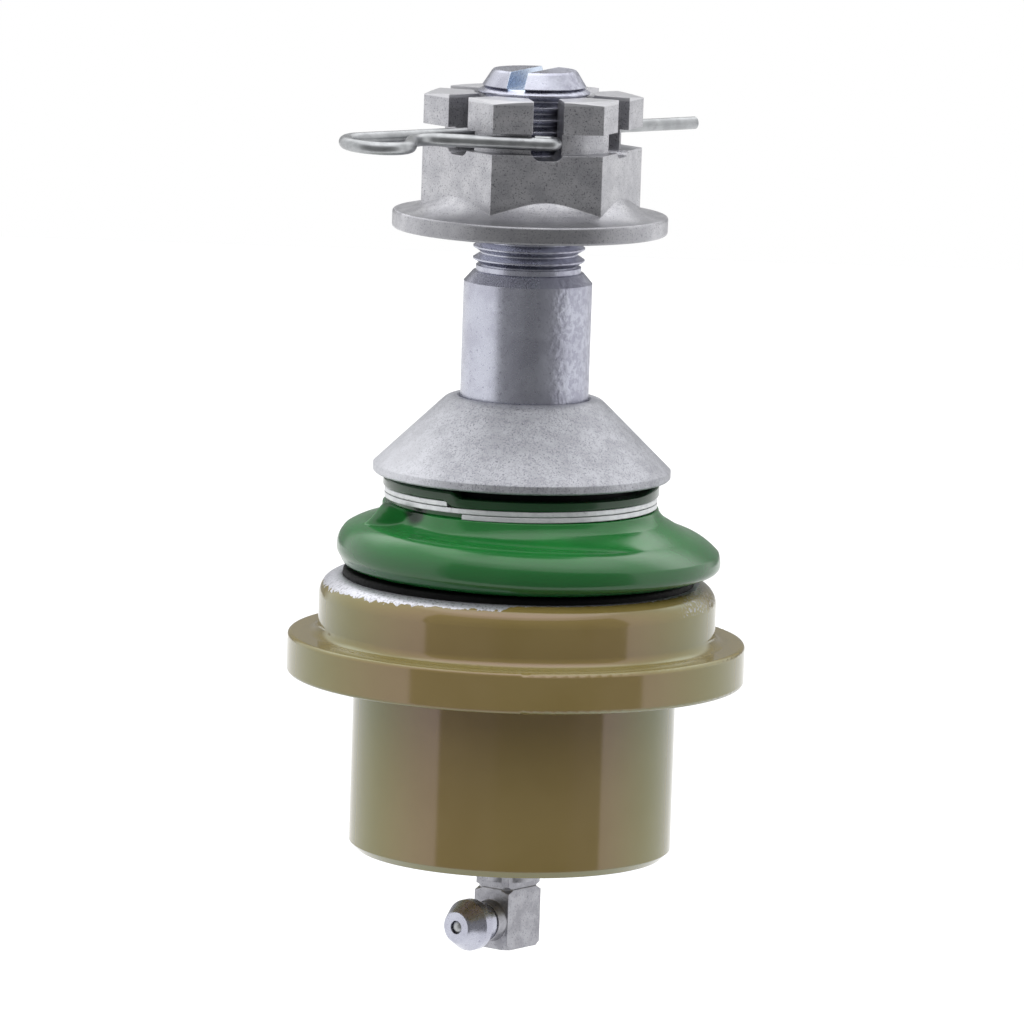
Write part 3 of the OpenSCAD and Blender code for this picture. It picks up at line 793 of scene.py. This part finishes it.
def bell(turn: np.ndarray, centre: np.ndarray | float, reach: Pair, power: float = 2.0) -> np.ndarray:
    """Falls off round the axis from 1 at a centre, by exp(-|a / w|^power) of the angle a from it.

    Args:
        turn: The directions, in degrees.
        centre: The direction where it is 1.
        reach: The width w, clockwise of the centre and anticlockwise of it, seen from above.
        power: 2 for a round top. A higher power gives a flatter top and steeper sides.

    Returns:
        Its value for each direction, with an axis of length 1 added at the end.
    """
    away = (turn - centre + 180) % 360 - 180
    return np.exp(-np.abs(away / np.where(away < 0, *reach)) ** power)[..., None]


def arc(centre: Pair, radius: float, start: float, end: float, count: int) -> np.ndarray:
    """Gives points along an arc of a section, at equal angles from start to end in degrees.

    Args:
        centre: The arc's centre.
        radius: Its radius.
        start: Its first angle, from straight out towards straight up.
        end: Its last angle.
        count: How many points it has.

    Returns:
        A row for each point: its radius and height.
    """
    angle = np.radians(np.linspace(start, end, count))
    return np.stack([centre[0] + radius * np.cos(angle), centre[1] + radius * np.sin(angle)], -1)


def line(first: Pair, last: Pair, count: int) -> np.ndarray:
    """Gives points along a straight line of a section, both ends included."""
    return np.linspace(first, last, count)


class Run(NamedTuple):
    """A stretch of the boot's section.

    Attributes:
        points: Its points, each a radius and a height.
        skin: How far its ends are up the outer skin, from 0 at the bulge's widest place to 1 at the
            groove.
        roof: How far its ends follow the roof of the groove.
    """

    points: np.ndarray
    skin: Pair = (0.0, 0.0)
    roof: Pair = (0.0, 0.0)


@dataclass(frozen=True)
class Swell:
    """A part of the boot's skin that stands fuller than the turned section.

    The skin moves to the straight line between two places on the section, and stands off it by the
    bow times sin(pi t^1.8), for the share t of the way. Round the axis the move fades as a bell.

    Attributes:
        span: Where the line starts and ends, by how far that is up the skin.
        turn: The direction of its middle at the groove, in degrees.
        reach: The bell's width on either side.
        share: How much of the move is made.
        bow: How far out and up the skin stands off the line, in millimetres.
        lean: How many degrees its foot lies clockwise of its top, seen from above.
        power: The bell's power.
    """

    span: Pair
    turn: float
    reach: Pair
    share: float = 1.0
    bow: Pair = (0.0, 0.0)
    lean: float = 0.0
    power: float = 2.0

    LEANS_OVER = 0.55
    BOW_SKEW = 1.8

    def moves(self, section: np.ndarray, turn: np.ndarray) -> np.ndarray:
        """Gives how far each point of the skin moves.

        Args:
            section: The section's rows.
            turn: The direction of each column, in degrees.

        Returns:
            Rows by columns by how far out and how far up, in millimetres.
        """
        low, high = self.span
        skin = section[:, 2]
        outer = (skin > 0) & (skin < 1)
        first, last = (np.array([np.interp(place, skin[outer], section[outer, k]) for k in (0, 1)])
                       for place in self.span)
        way = np.clip((skin - low) / (high - low), 0.0, 1.0)[:, None]
        target = first + way * (last - first) + np.sin(np.pi * way ** self.BOW_SKEW) * self.bow
        move = np.where(((skin > low) & (skin < high))[:, None], target - section[:, :2], 0.0)
        middle_turn = self.turn - self.lean * np.clip((1 - skin[:, None]) / self.LEANS_OVER, 0.0, 1.0)
        return self.share * move[:, None] * bell(turn, middle_turn, self.reach, self.power)


@dataclass
class Boot:
    """The moulded boot: a foot in the closing ring, a flat bulge, a grooved neck and a lip.

    Its section matches the CAD solid that it replaces. As on the real boot, the crest stands higher
    at the left, the groove's roof follows the coils of the clamp ring, and a pinch leaves a ridge
    and a hollow under that ring at the left of the front.

    Attributes:
        foot: The foot's inner and outer radius and the height of its end.
        groove: The radius of the groove's floor and the heights of its ledge and its roof.
        lip: The lip's outer radius and the height of its top.
        cavity: The radius and height of the centre of the hollow inside the bulge, and its size.
        cut: How far most corners are cut, with nick, bore_cut and step for the small ones.
        dense: The directions between which the columns lie closer together.
        columns: How many columns lie there, and how many on the rest of the way round.
        swells: The pinch's ridge, and the fuller skin left of it and on the right side.
        crest_r: Between which radii the crest's shift and tilt begin.
        crest_z: Between which heights they end.
        shift_z: Between which heights the shift begins.
        rise_z: The same for the tilt where it lifts the crest.
        sink_z: The same where it lowers it, which keeps the underside off the closing ring.
        pressed: The directions between which the lip's top begins and ends to be pressed down.
        press_under: How far under its top the press reaches.
        coil_start: The direction of the clamp ring's ends.
        coil_end: Over which share of the turn the roof drops back, before that direction.
        bends_z: Between which heights the boot would bend when the stud swings. It is not used.
    """

    bulge_centre: Pair = (20.65, 15.7)
    bulge_r: float = 3.5
    bottom_z: float = 13.55
    under_r: float = 2.6
    foot: Triple = (16.25, 19.35, 9.85)
    groove: Triple = (16.25, 21.87, 24.05)
    shoulder_r: float = 17.25
    ledge_lift: float = 0.06
    lip: Pair = (17.35, 25.35)
    lip_under_r: float = 0.25
    lip_top_r: float = 0.5
    bore_r: float = 15.15
    cavity: Triple = (21.15, 16.4, 1.34)
    cut: float = 0.2
    nick: float = 0.1
    bore_cut: float = 0.15
    step: float = 0.03

    dense: Pair = (-178.0, -108.0)
    columns: tuple[int, int] = (180, 300)
    swells: tuple[Swell, ...] = (
        Swell((0.42, 0.999), -144.5, (2.8, 2.4), bow=(1.2, 1.7), lean=21.0, power=3.0),
        Swell((0.25, 0.90), -186.5, (30.0, 20.0), share=0.7),
        Swell((0.12, 0.85), -25.0, (38.0, 60.0), share=0.85),
    )
    hollow_turn: float = -138.5
    hollow_reach: Pair = (4.0, 9.0)
    hollow_skin: Pair = (0.65, 0.97)
    hollow_depth: float = 0.55
    crest_shift: float = 1.2
    crest_tilt: float = -0.020
    crest_r: Pair = (15.6, 18.5)
    crest_z: Pair = (19.2, 21.8)
    shift_z: Pair = (12.9, 14.6)
    rise_z: Pair = (12.9, 14.0)
    sink_z: Pair = (13.6, 15.6)
    pressed: tuple[Pair, Pair] = ((-121.0, -115.0), (-35.0, 0.0))
    press_depth: float = 0.8
    press_under: float = 1.0
    coil_start: float = -115.0
    coil_pitch: float = 0.72
    coil_end: Pair = (0.975, 0.995)
    bends_z: Pair = (15.0, 21.4)
    finish: Finish = BootRubber("moulded polyurethane, gloss green")

    def section(self) -> np.ndarray:
        """Traces the section once round, from the foot's outer corner up the outside and down the bore.

        Returns:
            A row for each point: its radius and height, how far it is up the outer skin and how far
            it follows the groove's roof.
        """
        cx, cz = self.bulge_centre
        foot_in, foot_out, foot_z = self.foot
        groove_r, ledge, roof = self.groove
        lip_r, top = self.lip
        cavity_x, cavity_z, cavity_r = self.cavity
        cavity_floor, cavity_top = cavity_z - cavity_r, cavity_z + cavity_r
        cut, nick, round_r, corner = self.cut, self.nick, self.lip_under_r, self.lip_top_r
        sweep_r = cx - self.shoulder_r
        sweep_z = cz + self.bulge_r + sweep_r
        sweep_end = 180 + math.degrees(math.asin((sweep_z - ledge) / sweep_r))
        under_x, under_h = cx + self.bulge_r - self.under_r, cz - self.bottom_z
        ledge_z = ledge + self.ledge_lift
        runs = [
            Run(line((foot_out, foot_z), (foot_out, self.bottom_z - cut), 6)),
            Run(line((foot_out + cut, self.bottom_z), (under_x - cut, self.bottom_z), 6)),
            Run(arc((0, 0), 1.0, -88, 0, 24) * (self.under_r, under_h) + (under_x, cz)),
            Run(arc((cx, cz), self.bulge_r, 3, 90, 40), skin=(0.02, 0.5)),
            Run(arc((cx, sweep_z), sweep_r, 267, sweep_end, 40), skin=(0.52, 0.999)),
            Run(line((self.shoulder_r - cut, ledge_z), (groove_r + nick, ledge_z), 4), skin=(1, 1)),
            Run(line((groove_r, ledge + cut), (groove_r, roof - nick), 8), roof=(0, 1)),
            Run(line((groove_r + nick, roof), (lip_r - round_r, roof), 4), roof=(1, 1)),
            Run(arc((lip_r - round_r, roof + round_r), round_r, -80, 0, 5), roof=(1, 1)),
            Run(arc((lip_r - corner, top - corner), corner, 0, 90, 8)),
            Run(line((lip_r - corner - cut, top), (self.bore_r + self.bore_cut, top), 5)),
            Run(line((self.bore_r, top - self.bore_cut), (self.bore_r, cavity_top + nick), 20)),
            Run(arc((cavity_x, cavity_z), cavity_r, 90, -90, 16)),
            Run(line((foot_in + nick, cavity_floor - self.step), (foot_in, cavity_floor - nick), 2)),
            Run(line((foot_in, cavity_floor - cut - nick), (foot_in, foot_z), 12)),
        ]
        return np.concatenate([
            np.column_stack([points, np.linspace(*skin, len(points)), np.linspace(*roof, len(points))])
            for points, skin, roof in runs])

    def turns(self) -> np.ndarray:
        """Spreads the columns round the axis, closer together about the pinch.

        Returns:
            One row: the direction of each column, in degrees from -180 to 180.
        """
        near, far = self.dense
        turn = np.concatenate([np.linspace(near, far, self.columns[0], endpoint=False),
                               np.linspace(far, near + 360.0, self.columns[1], endpoint=False)])
        return (turn[None, :] + 180.0) % 360.0 - 180.0

    def folds(self, section: np.ndarray, turn: np.ndarray) -> np.ndarray:
        """Gives how far the pinch moves the skin: its swells, and the hollow beside the ridge.

        Args:
            section: The section's rows.
            turn: The direction of each column, in degrees.

        Returns:
            Rows by columns by how far out and how far up, in millimetres.
        """
        radius, skin = section[:, 0][:, None], section[:, 2][:, None]
        dent = smooth_step(*self.hollow_skin, skin) * np.clip(radius - self.groove[0], 0.0, 1.0)
        hollow = (-self.hollow_depth * dent)[..., None] * bell(turn, self.hollow_turn, self.hollow_reach)
        return sum(swell.moves(section, turn) for swell in self.swells) + hollow * (1.0, 0.0)

    def roof_rise(self, turn: np.ndarray) -> np.ndarray:
        """Gives the roof's height over its own level: one pitch up in each turn, then the drop.

        Args:
            turn: The direction of each column, in degrees.

        Returns:
            The height over the roof's level for each column.
        """
        share = ((turn - self.coil_start) % 360) / 360
        ended = smooth_step(*self.coil_end, share)
        return self.coil_pitch * (share * (1 - ended) - 1) * (1 - ended) - self.coil_pitch * ended

    def surface(self) -> np.ndarray:
        """Turns the section round the axis and bends it to the real boot's shape.

        A point is (r cos a + shift, r sin a, z + tilt) for the radius r and height z of the section
        after its folds. The roof of the groove rises by one pitch in each turn and drops where the
        ring's upper end lies. The lip's top is pressed down but for its left part. The tilt lifts
        the crest by 2% of r at the left and lowers it as much at the right.

        Returns:
            Rows by columns by three coordinates, in metres.
        """
        section, turn = self.section(), self.turns()
        radius, height, _, roof = (section[:, k][:, None] for k in range(4))
        angle = np.radians(turn)
        crest = smooth_step(*self.crest_r, radius) * (1 - smooth_step(*self.crest_z, height))
        shifted = self.crest_shift * crest * smooth_step(*self.shift_z, height)
        tilted = self.crest_tilt * crest * radius * np.cos(angle)
        tilted *= np.where(tilted > 0, smooth_step(*self.rise_z, height), smooth_step(*self.sink_z, height))
        starts, stops = self.pressed
        pressed = smooth_step(*starts, turn) * (1 - smooth_step(*stops, turn))
        drop = self.press_depth * pressed * np.clip(height - (self.lip[1] - self.press_under), 0.0, 1.0)
        fold = self.folds(section, turn)
        height = height + fold[..., 1] + roof * self.roof_rise(turn) - drop
        radius = radius + fold[..., 0]
        return np.stack([radius * np.cos(angle) + shifted, radius * np.sin(angle), height + tilted], -1) * MM

    def build(self) -> bpy.types.Object:
        """Makes the boot, in place of its CAD solid.

        Returns:
            The boot.
        """
        piece = show("moulded_boot", grid_mesh("moulded_boot", self.surface(), self.finish.material()))
        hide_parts("boot")
        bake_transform(piece)
        LOG.info("moulded_boot built with %d points", len(piece.data.vertices))
        return piece


@dataclass
class CheckSpring:
    """The coil behind the nipple's ball: the CAD solid's own form."""

    merge_mm: float = 0.001

    def build(self) -> bpy.types.Object:
        """Makes the coil, in place of its CAD solid, with its doubled points merged.

        Returns:
            The coil.
        """
        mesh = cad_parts["check_spring"].data.copy()
        coil = bmesh.new()
        coil.from_mesh(mesh)
        bmesh.ops.remove_doubles(coil, verts=coil.verts, dist=self.merge_mm * MM)
        coil.to_mesh(mesh)
        coil.free()
        piece = show("sprung_coil", mesh)
        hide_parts("check_spring")
        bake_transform(piece)
        LOG.info("sprung_coil built with %d points", len(mesh.vertices))
        return piece


@dataclass
class Hardware:
    """The finishes of the solids that come from the CAD model unchanged."""

    # A baked coat of zinc flakes: an even light grey with pores, lines from the dies and soft edges
    zinc_flake: Finish = PaintedLightNut(
        "zinc flake coat on forged steel", light="#bcbcc0", dark="#aaaaaf", fleck="#7a7a80",
        rough=(0.30, 0.44), cloud_mm=2.5, grain_mm=0.2, fleck_share=0.42, bump_mm=0.022, lines_mm=0.3,
        edge_mm=0.2)
    # Tumbling leaves a cast skin pale and satin, with short dark cracks where the metal froze
    cast_zinc: Finish = CastCollar(
        "die-cast zinc, tumbled", light="#b6b7bd", dark="#a6a7ad", fleck="#7f8087", metallic=0.80,
        rough=(0.46, 0.58), cloud_mm=3.0, grain_mm=0.24, fleck_share=0.43, bump_mm=0.02, edge_mm=0.25,
        crackle_mm=0.5)
    # Plate on a ground surface mirrors the tent in clear bands, cool and a little blue
    zinc_plate: Finish = PlatedStud(
        "zinc plate on ground steel", light="#b7b9c5", dark="#a9aab7", fleck="#9191a0", metallic=1.0,
        rough=(0.24, 0.34), cloud_mm=4.0, grain_mm=0.4, fleck_share=0.36, bump_mm=0.012, edge_mm=0.12)
    # The same plate over tool marks is greyer, with level lines
    dull_plate: Finish = GrainyMetal(
        "dull zinc plate on turned steel", light="#a8a8ae", dark="#929298", fleck="#77777d",
        rough=(0.34, 0.46), cloud_mm=1.6, grain_mm=0.2, fleck_share=0.40, bump_mm=0.02, lines_mm=0.35)
    # Drawn wire is smooth, so its shine runs along it in lines
    spring_wire: Finish = GrainyMetal(
        "galvanised spring wire", light="#a8aaac", dark="#989a9c", fleck="#88898c", metallic=1.0,
        rough=(0.32, 0.40), cloud_mm=1.6, grain_mm=1.1, fleck_share=0.34, bump_mm=0.004, edge_mm=0.1)
    # Tin is whiter than zinc and keeps its tone in the shade
    tinned_wire: Finish = GrainyMetal(
        "tinned flat wire", light="#d6d8da", dark="#c8cacd", fleck="#a4a6a9", metallic=0.5,
        rough=(0.28, 0.36), cloud_mm=1.6, grain_mm=1.1, fleck_share=0.34, bump_mm=0.004, edge_mm=0.2)
    # Oiled black oxide shows next to nothing but its outline
    black_steel: Finish = GrainyMetal(
        "black oxide on turned steel", light="#050606", dark="#030303", fleck="#0a0b0c", metallic=0.0,
        rough=(0.5, 0.7), cloud_mm=2.0, grain_mm=0.4, fleck_share=0.35, bump_mm=0.02, gloss=0.12)
    # Plain strip and washers, out of sight in the housing
    plain_steel: Finish = GrainyMetal(
        "bright rolled steel", light="#9a9a9d", dark="#8c8c8f", fleck="#6c6c70", metallic=1.0,
        rough=(0.3, 0.4), cloud_mm=3.0, grain_mm=0.4, fleck_share=0.36, bump_mm=0.01)
    # Black bearing plastic with the lathe's lines, out of sight too
    acetal: Finish = GrainyMetal(
        "turned acetal", light="#303032", dark="#28282a", fleck="#1e1e20", metallic=0.0,
        rough=(0.35, 0.5), cloud_mm=4.0, grain_mm=0.6, fleck_share=0.3, bump_mm=0.01, lines_mm=0.4)
    # A hard gloss that mirrors the tent's edges over its own colour
    paint: Finish = GlossPaint("stoved gloss paint, olive gold")

    def build(self) -> None:
        """Dresses each CAD node in the finish that the real piece has."""
        plan = {
            self.paint: ["housing"],
            self.black_steel: ["closing_ring"],
            self.acetal: ["upper_bearing", "lower_bearing"],
            self.plain_steel: ["pressure_plate", "disc_springs", "boot_foot_ring", "spring_seat"],
            self.zinc_plate: ["ball_stud", "grease_nipple"],
            self.cast_zinc: ["taper_collar"],
            self.zinc_flake: ["castle_nut"],
            self.dull_plate: ["grease_elbow"],
            self.spring_wire: ["hairpin_clip", "check_ball", "check_spring"],
            self.tinned_wire: ["boot_clamp_ring"],
        }
        for finish, nodes in plan.items():
            material = finish.material()
            for node in nodes:
                dress(node, material)


def look(place: Triple, facing: Triple, roll: float = 0.0) -> Matrix:
    """Gives the placing of a lamp or camera at a point, facing a direction.

    Args:
        place: Where it stands, in metres.
        facing: The direction that it looks in, which isn't straight up or down.
        roll: Its turn about that direction, in degrees, anticlockwise as it sees.

    Returns:
        The matrix whose -Z axis faces that way.
    """
    back = -Vector(facing).normalized()
    side = Vector((0, 0, 1)).cross(back).normalized()
    up = back.cross(side)
    turn = math.radians(roll)
    right = side * math.cos(turn) + up * math.sin(turn)
    above = up * math.cos(turn) - side * math.sin(turn)
    matrix = Matrix((right, above, back)).transposed().to_4x4()
    matrix.translation = Vector(place)
    return matrix


@dataclass(frozen=True)
class Softbox:
    """A flat lamp. Its radiance is set directly, and it may be left out of reflections."""

    name: str
    centre: Triple
    facing: Triple
    width: float
    height: float
    radiance: float
    in_gloss: bool = True

    def build(self) -> None:
        """Makes the lamp. Its power is pi times its radiance times its area."""
        lamp = bpy.data.lights.new(self.name, "AREA")
        lamp.shape = "RECTANGLE"
        lamp.size, lamp.size_y = self.width, self.height
        lamp.energy = math.pi * self.radiance * self.width * self.height
        holder = bpy.data.objects.new(self.name, lamp)
        holder.matrix_world = look(self.centre, self.facing)
        holder.visible_glossy = self.in_gloss
        bpy.context.scene.collection.objects.link(holder)
        LOG.info("lamp %s placed", self.name)


@dataclass(frozen=True)
class PhotoCamera:
    """The photograph's viewpoint, worked out from the ellipses of the object's rims."""

    distance: float = 1.040
    elevation: float = 8.37
    roll: float = 1.9
    focal_px: float = 8280.0
    frame_px: float = 1024.0
    sensor_mm: float = 36.0
    sees_to: float = 20.0
    target: Triple = (-0.00105, 0.0, 0.02083)

    def build(self) -> None:
        """Makes the camera at its distance from the target, above it by the elevation."""
        lift = math.radians(self.elevation)
        away = (0.0, -math.cos(lift), math.sin(lift))
        place = tuple(t + self.distance * a for t, a in zip(self.target, away))
        data = bpy.data.cameras.new("photo_camera")
        data.sensor_width = self.sensor_mm
        data.lens = self.focal_px / self.frame_px * self.sensor_mm
        data.clip_end = self.sees_to
        camera = bpy.data.objects.new("photo_camera", data)
        camera.matrix_world = look(place, tuple(-a for a in away), self.roll)
        bpy.context.scene.collection.objects.link(camera)
        bpy.context.scene.camera = camera


@dataclass(frozen=True)
class LightTent:
    """The light all round: cloth at the sides, brightest overhead and open and dark towards the camera.

    Azimuths run from the camera, positive to its right, and heights from the horizon, in degrees.
    The limits named _z and _y are coordinates of a direction of length 1, and so is
    opening_top_soft. The other soft edges are in radians.

    Attributes:
        opening: The azimuths of the tent's open front, where the dim room shows.
        opening_top: Up to what height it is open.
        core: The azimuths of the darkest part of the room.
        dark: The radiance there.
        dim: The radiance of the rest of the opening.
        sides: The radiance of the cloth.
        overhead: The radiance of the lit lid.
        back_low: The radiance of the gap low behind the object.
    """

    opening: Pair = (-54.0, 67.0)
    opening_top: float = 41.6
    opening_soft: float = 0.02
    opening_top_soft: float = 0.01
    core: Pair = (-11.0, 45.0)
    core_soft: float = 0.12
    dark: float = 0.26
    dim: float = 0.36
    sides: float = 1.25
    overhead: float = 2.20
    back_low: float = 0.35
    lid_z: Pair = (0.77, 0.88)
    lid_behind_z: Pair = (0.40, 0.62)
    lid_behind_y: Pair = (0.25, 0.60)
    back_low_z: Pair = (0.52, 0.62)
    back_low_y: Pair = (0.76, 0.88)

    def cloth(self, tree: Tree, away: Value, high: Value) -> Node:
        """Gives the radiance of the cloth in each direction.

        Args:
            tree: The world's node tree.
            away: How far the direction points away from the camera.
            high: How far it points up.

        Returns:
            The last of its nodes.
        """
        rising = add(tree, "MapRange", high, *self.lid_behind_z, **SMOOTH)
        behind = add(tree, "MapRange", away, *self.lid_behind_y, **SMOOTH)
        behind = add(tree, "Math", rising, behind, operation="MULTIPLY")
        above = add(tree, "MapRange", high, *self.lid_z, **SMOOTH)
        lid = add(tree, "Math", above, behind, operation="MAXIMUM")
        sky = add(tree, "Mix", lid, self.sides, self.overhead)
        back = add(tree, "MapRange", away, *self.back_low_y, **SMOOTH)
        low = add(tree, "MapRange", high, *self.back_low_z, *FALLING, **SMOOTH)
        gap = add(tree, "Math", back, low, operation="MULTIPLY")
        return add(tree, "Mix", gap, sky, self.back_low)

    def build(self) -> None:
        """Makes the world: plain white to the camera, and the tent to everything else."""
        world = bpy.data.worlds.new("light_tent")
        world.use_nodes = True
        tree = world.node_tree
        tree.nodes.clear()
        direction = add(tree, "TexCoord").outputs["Generated"]
        right, away, high = add(tree, "SeparateXYZ", direction).outputs
        towards = add(tree, "Math", away, -1.0, operation="MULTIPLY")
        azimuth = add(tree, "Math", right, towards, operation="ARCTAN2")
        inner = between(tree, azimuth, tuple(map(math.radians, self.core)), self.core_soft)
        wide = between(tree, azimuth, tuple(map(math.radians, self.opening)), self.opening_soft)
        top, soft = math.sin(math.radians(self.opening_top)), self.opening_top_soft
        under = add(tree, "MapRange", high, top - soft, top + soft, *FALLING, **SMOOTH)
        front = add(tree, "Math", wide, under, operation="MULTIPLY")
        room = add(tree, "Mix", inner, self.dim, self.dark)
        light = add(tree, "Mix", front, self.cloth(tree, away, high), room)
        strength = add(tree, "Mix", seen_directly(tree), light, 1.0)
        add(tree, "OutputWorld", add(tree, "Background", WHITE, strength))
        bpy.context.scene.world = world


@dataclass
class Studio:
    """The light tent, a fill lamp beside the camera and a white floor well under the joint."""

    floor_z: float = -0.12
    floor_x: Pair = (-1.5, 1.5)
    floor_y: Pair = (-0.16, 1.5)
    tent: LightTent = LightTent()
    fill: Softbox = Softbox("front_fill", centre=(0.0, -0.95, 0.85), facing=(0.0, 1.0, -0.9), width=1.0,
                            height=1.0, radiance=1.9, in_gloss=False)

    def floor(self) -> None:
        """Lays the floor: one flat sheet. The joint hangs free over it, as in the photograph."""
        (left, right), (front, back) = self.floor_x, self.floor_y
        corners = [(left, front), (right, front), (right, back), (left, back)]
        mesh = bpy.data.meshes.new("floor_sheet")
        mesh.from_pydata([(x, y, self.floor_z) for x, y in corners], [], [(0, 1, 2, 3)])
        mesh.materials.append(StudioWhite("matt white paper").material())
        show("floor_sheet", mesh)

    def build(self) -> None:
        """Sets up the tent, the floor, the lamp and the colour management."""
        self.tent.build()
        self.floor()
        self.fill.build()
        bpy.context.scene.view_settings.view_transform = "Standard"


def main() -> None:
    """Builds the scene in order."""
    logging.basicConfig(level=logging.INFO, format="%(name)s: %(message)s")
    PhotoCamera().build()
    Hardware().build()
    Boot().build()
    CheckSpring().build()
    Studio().build()
    bpy.context.view_layer.update()


if __name__ == "__main__":
    main()
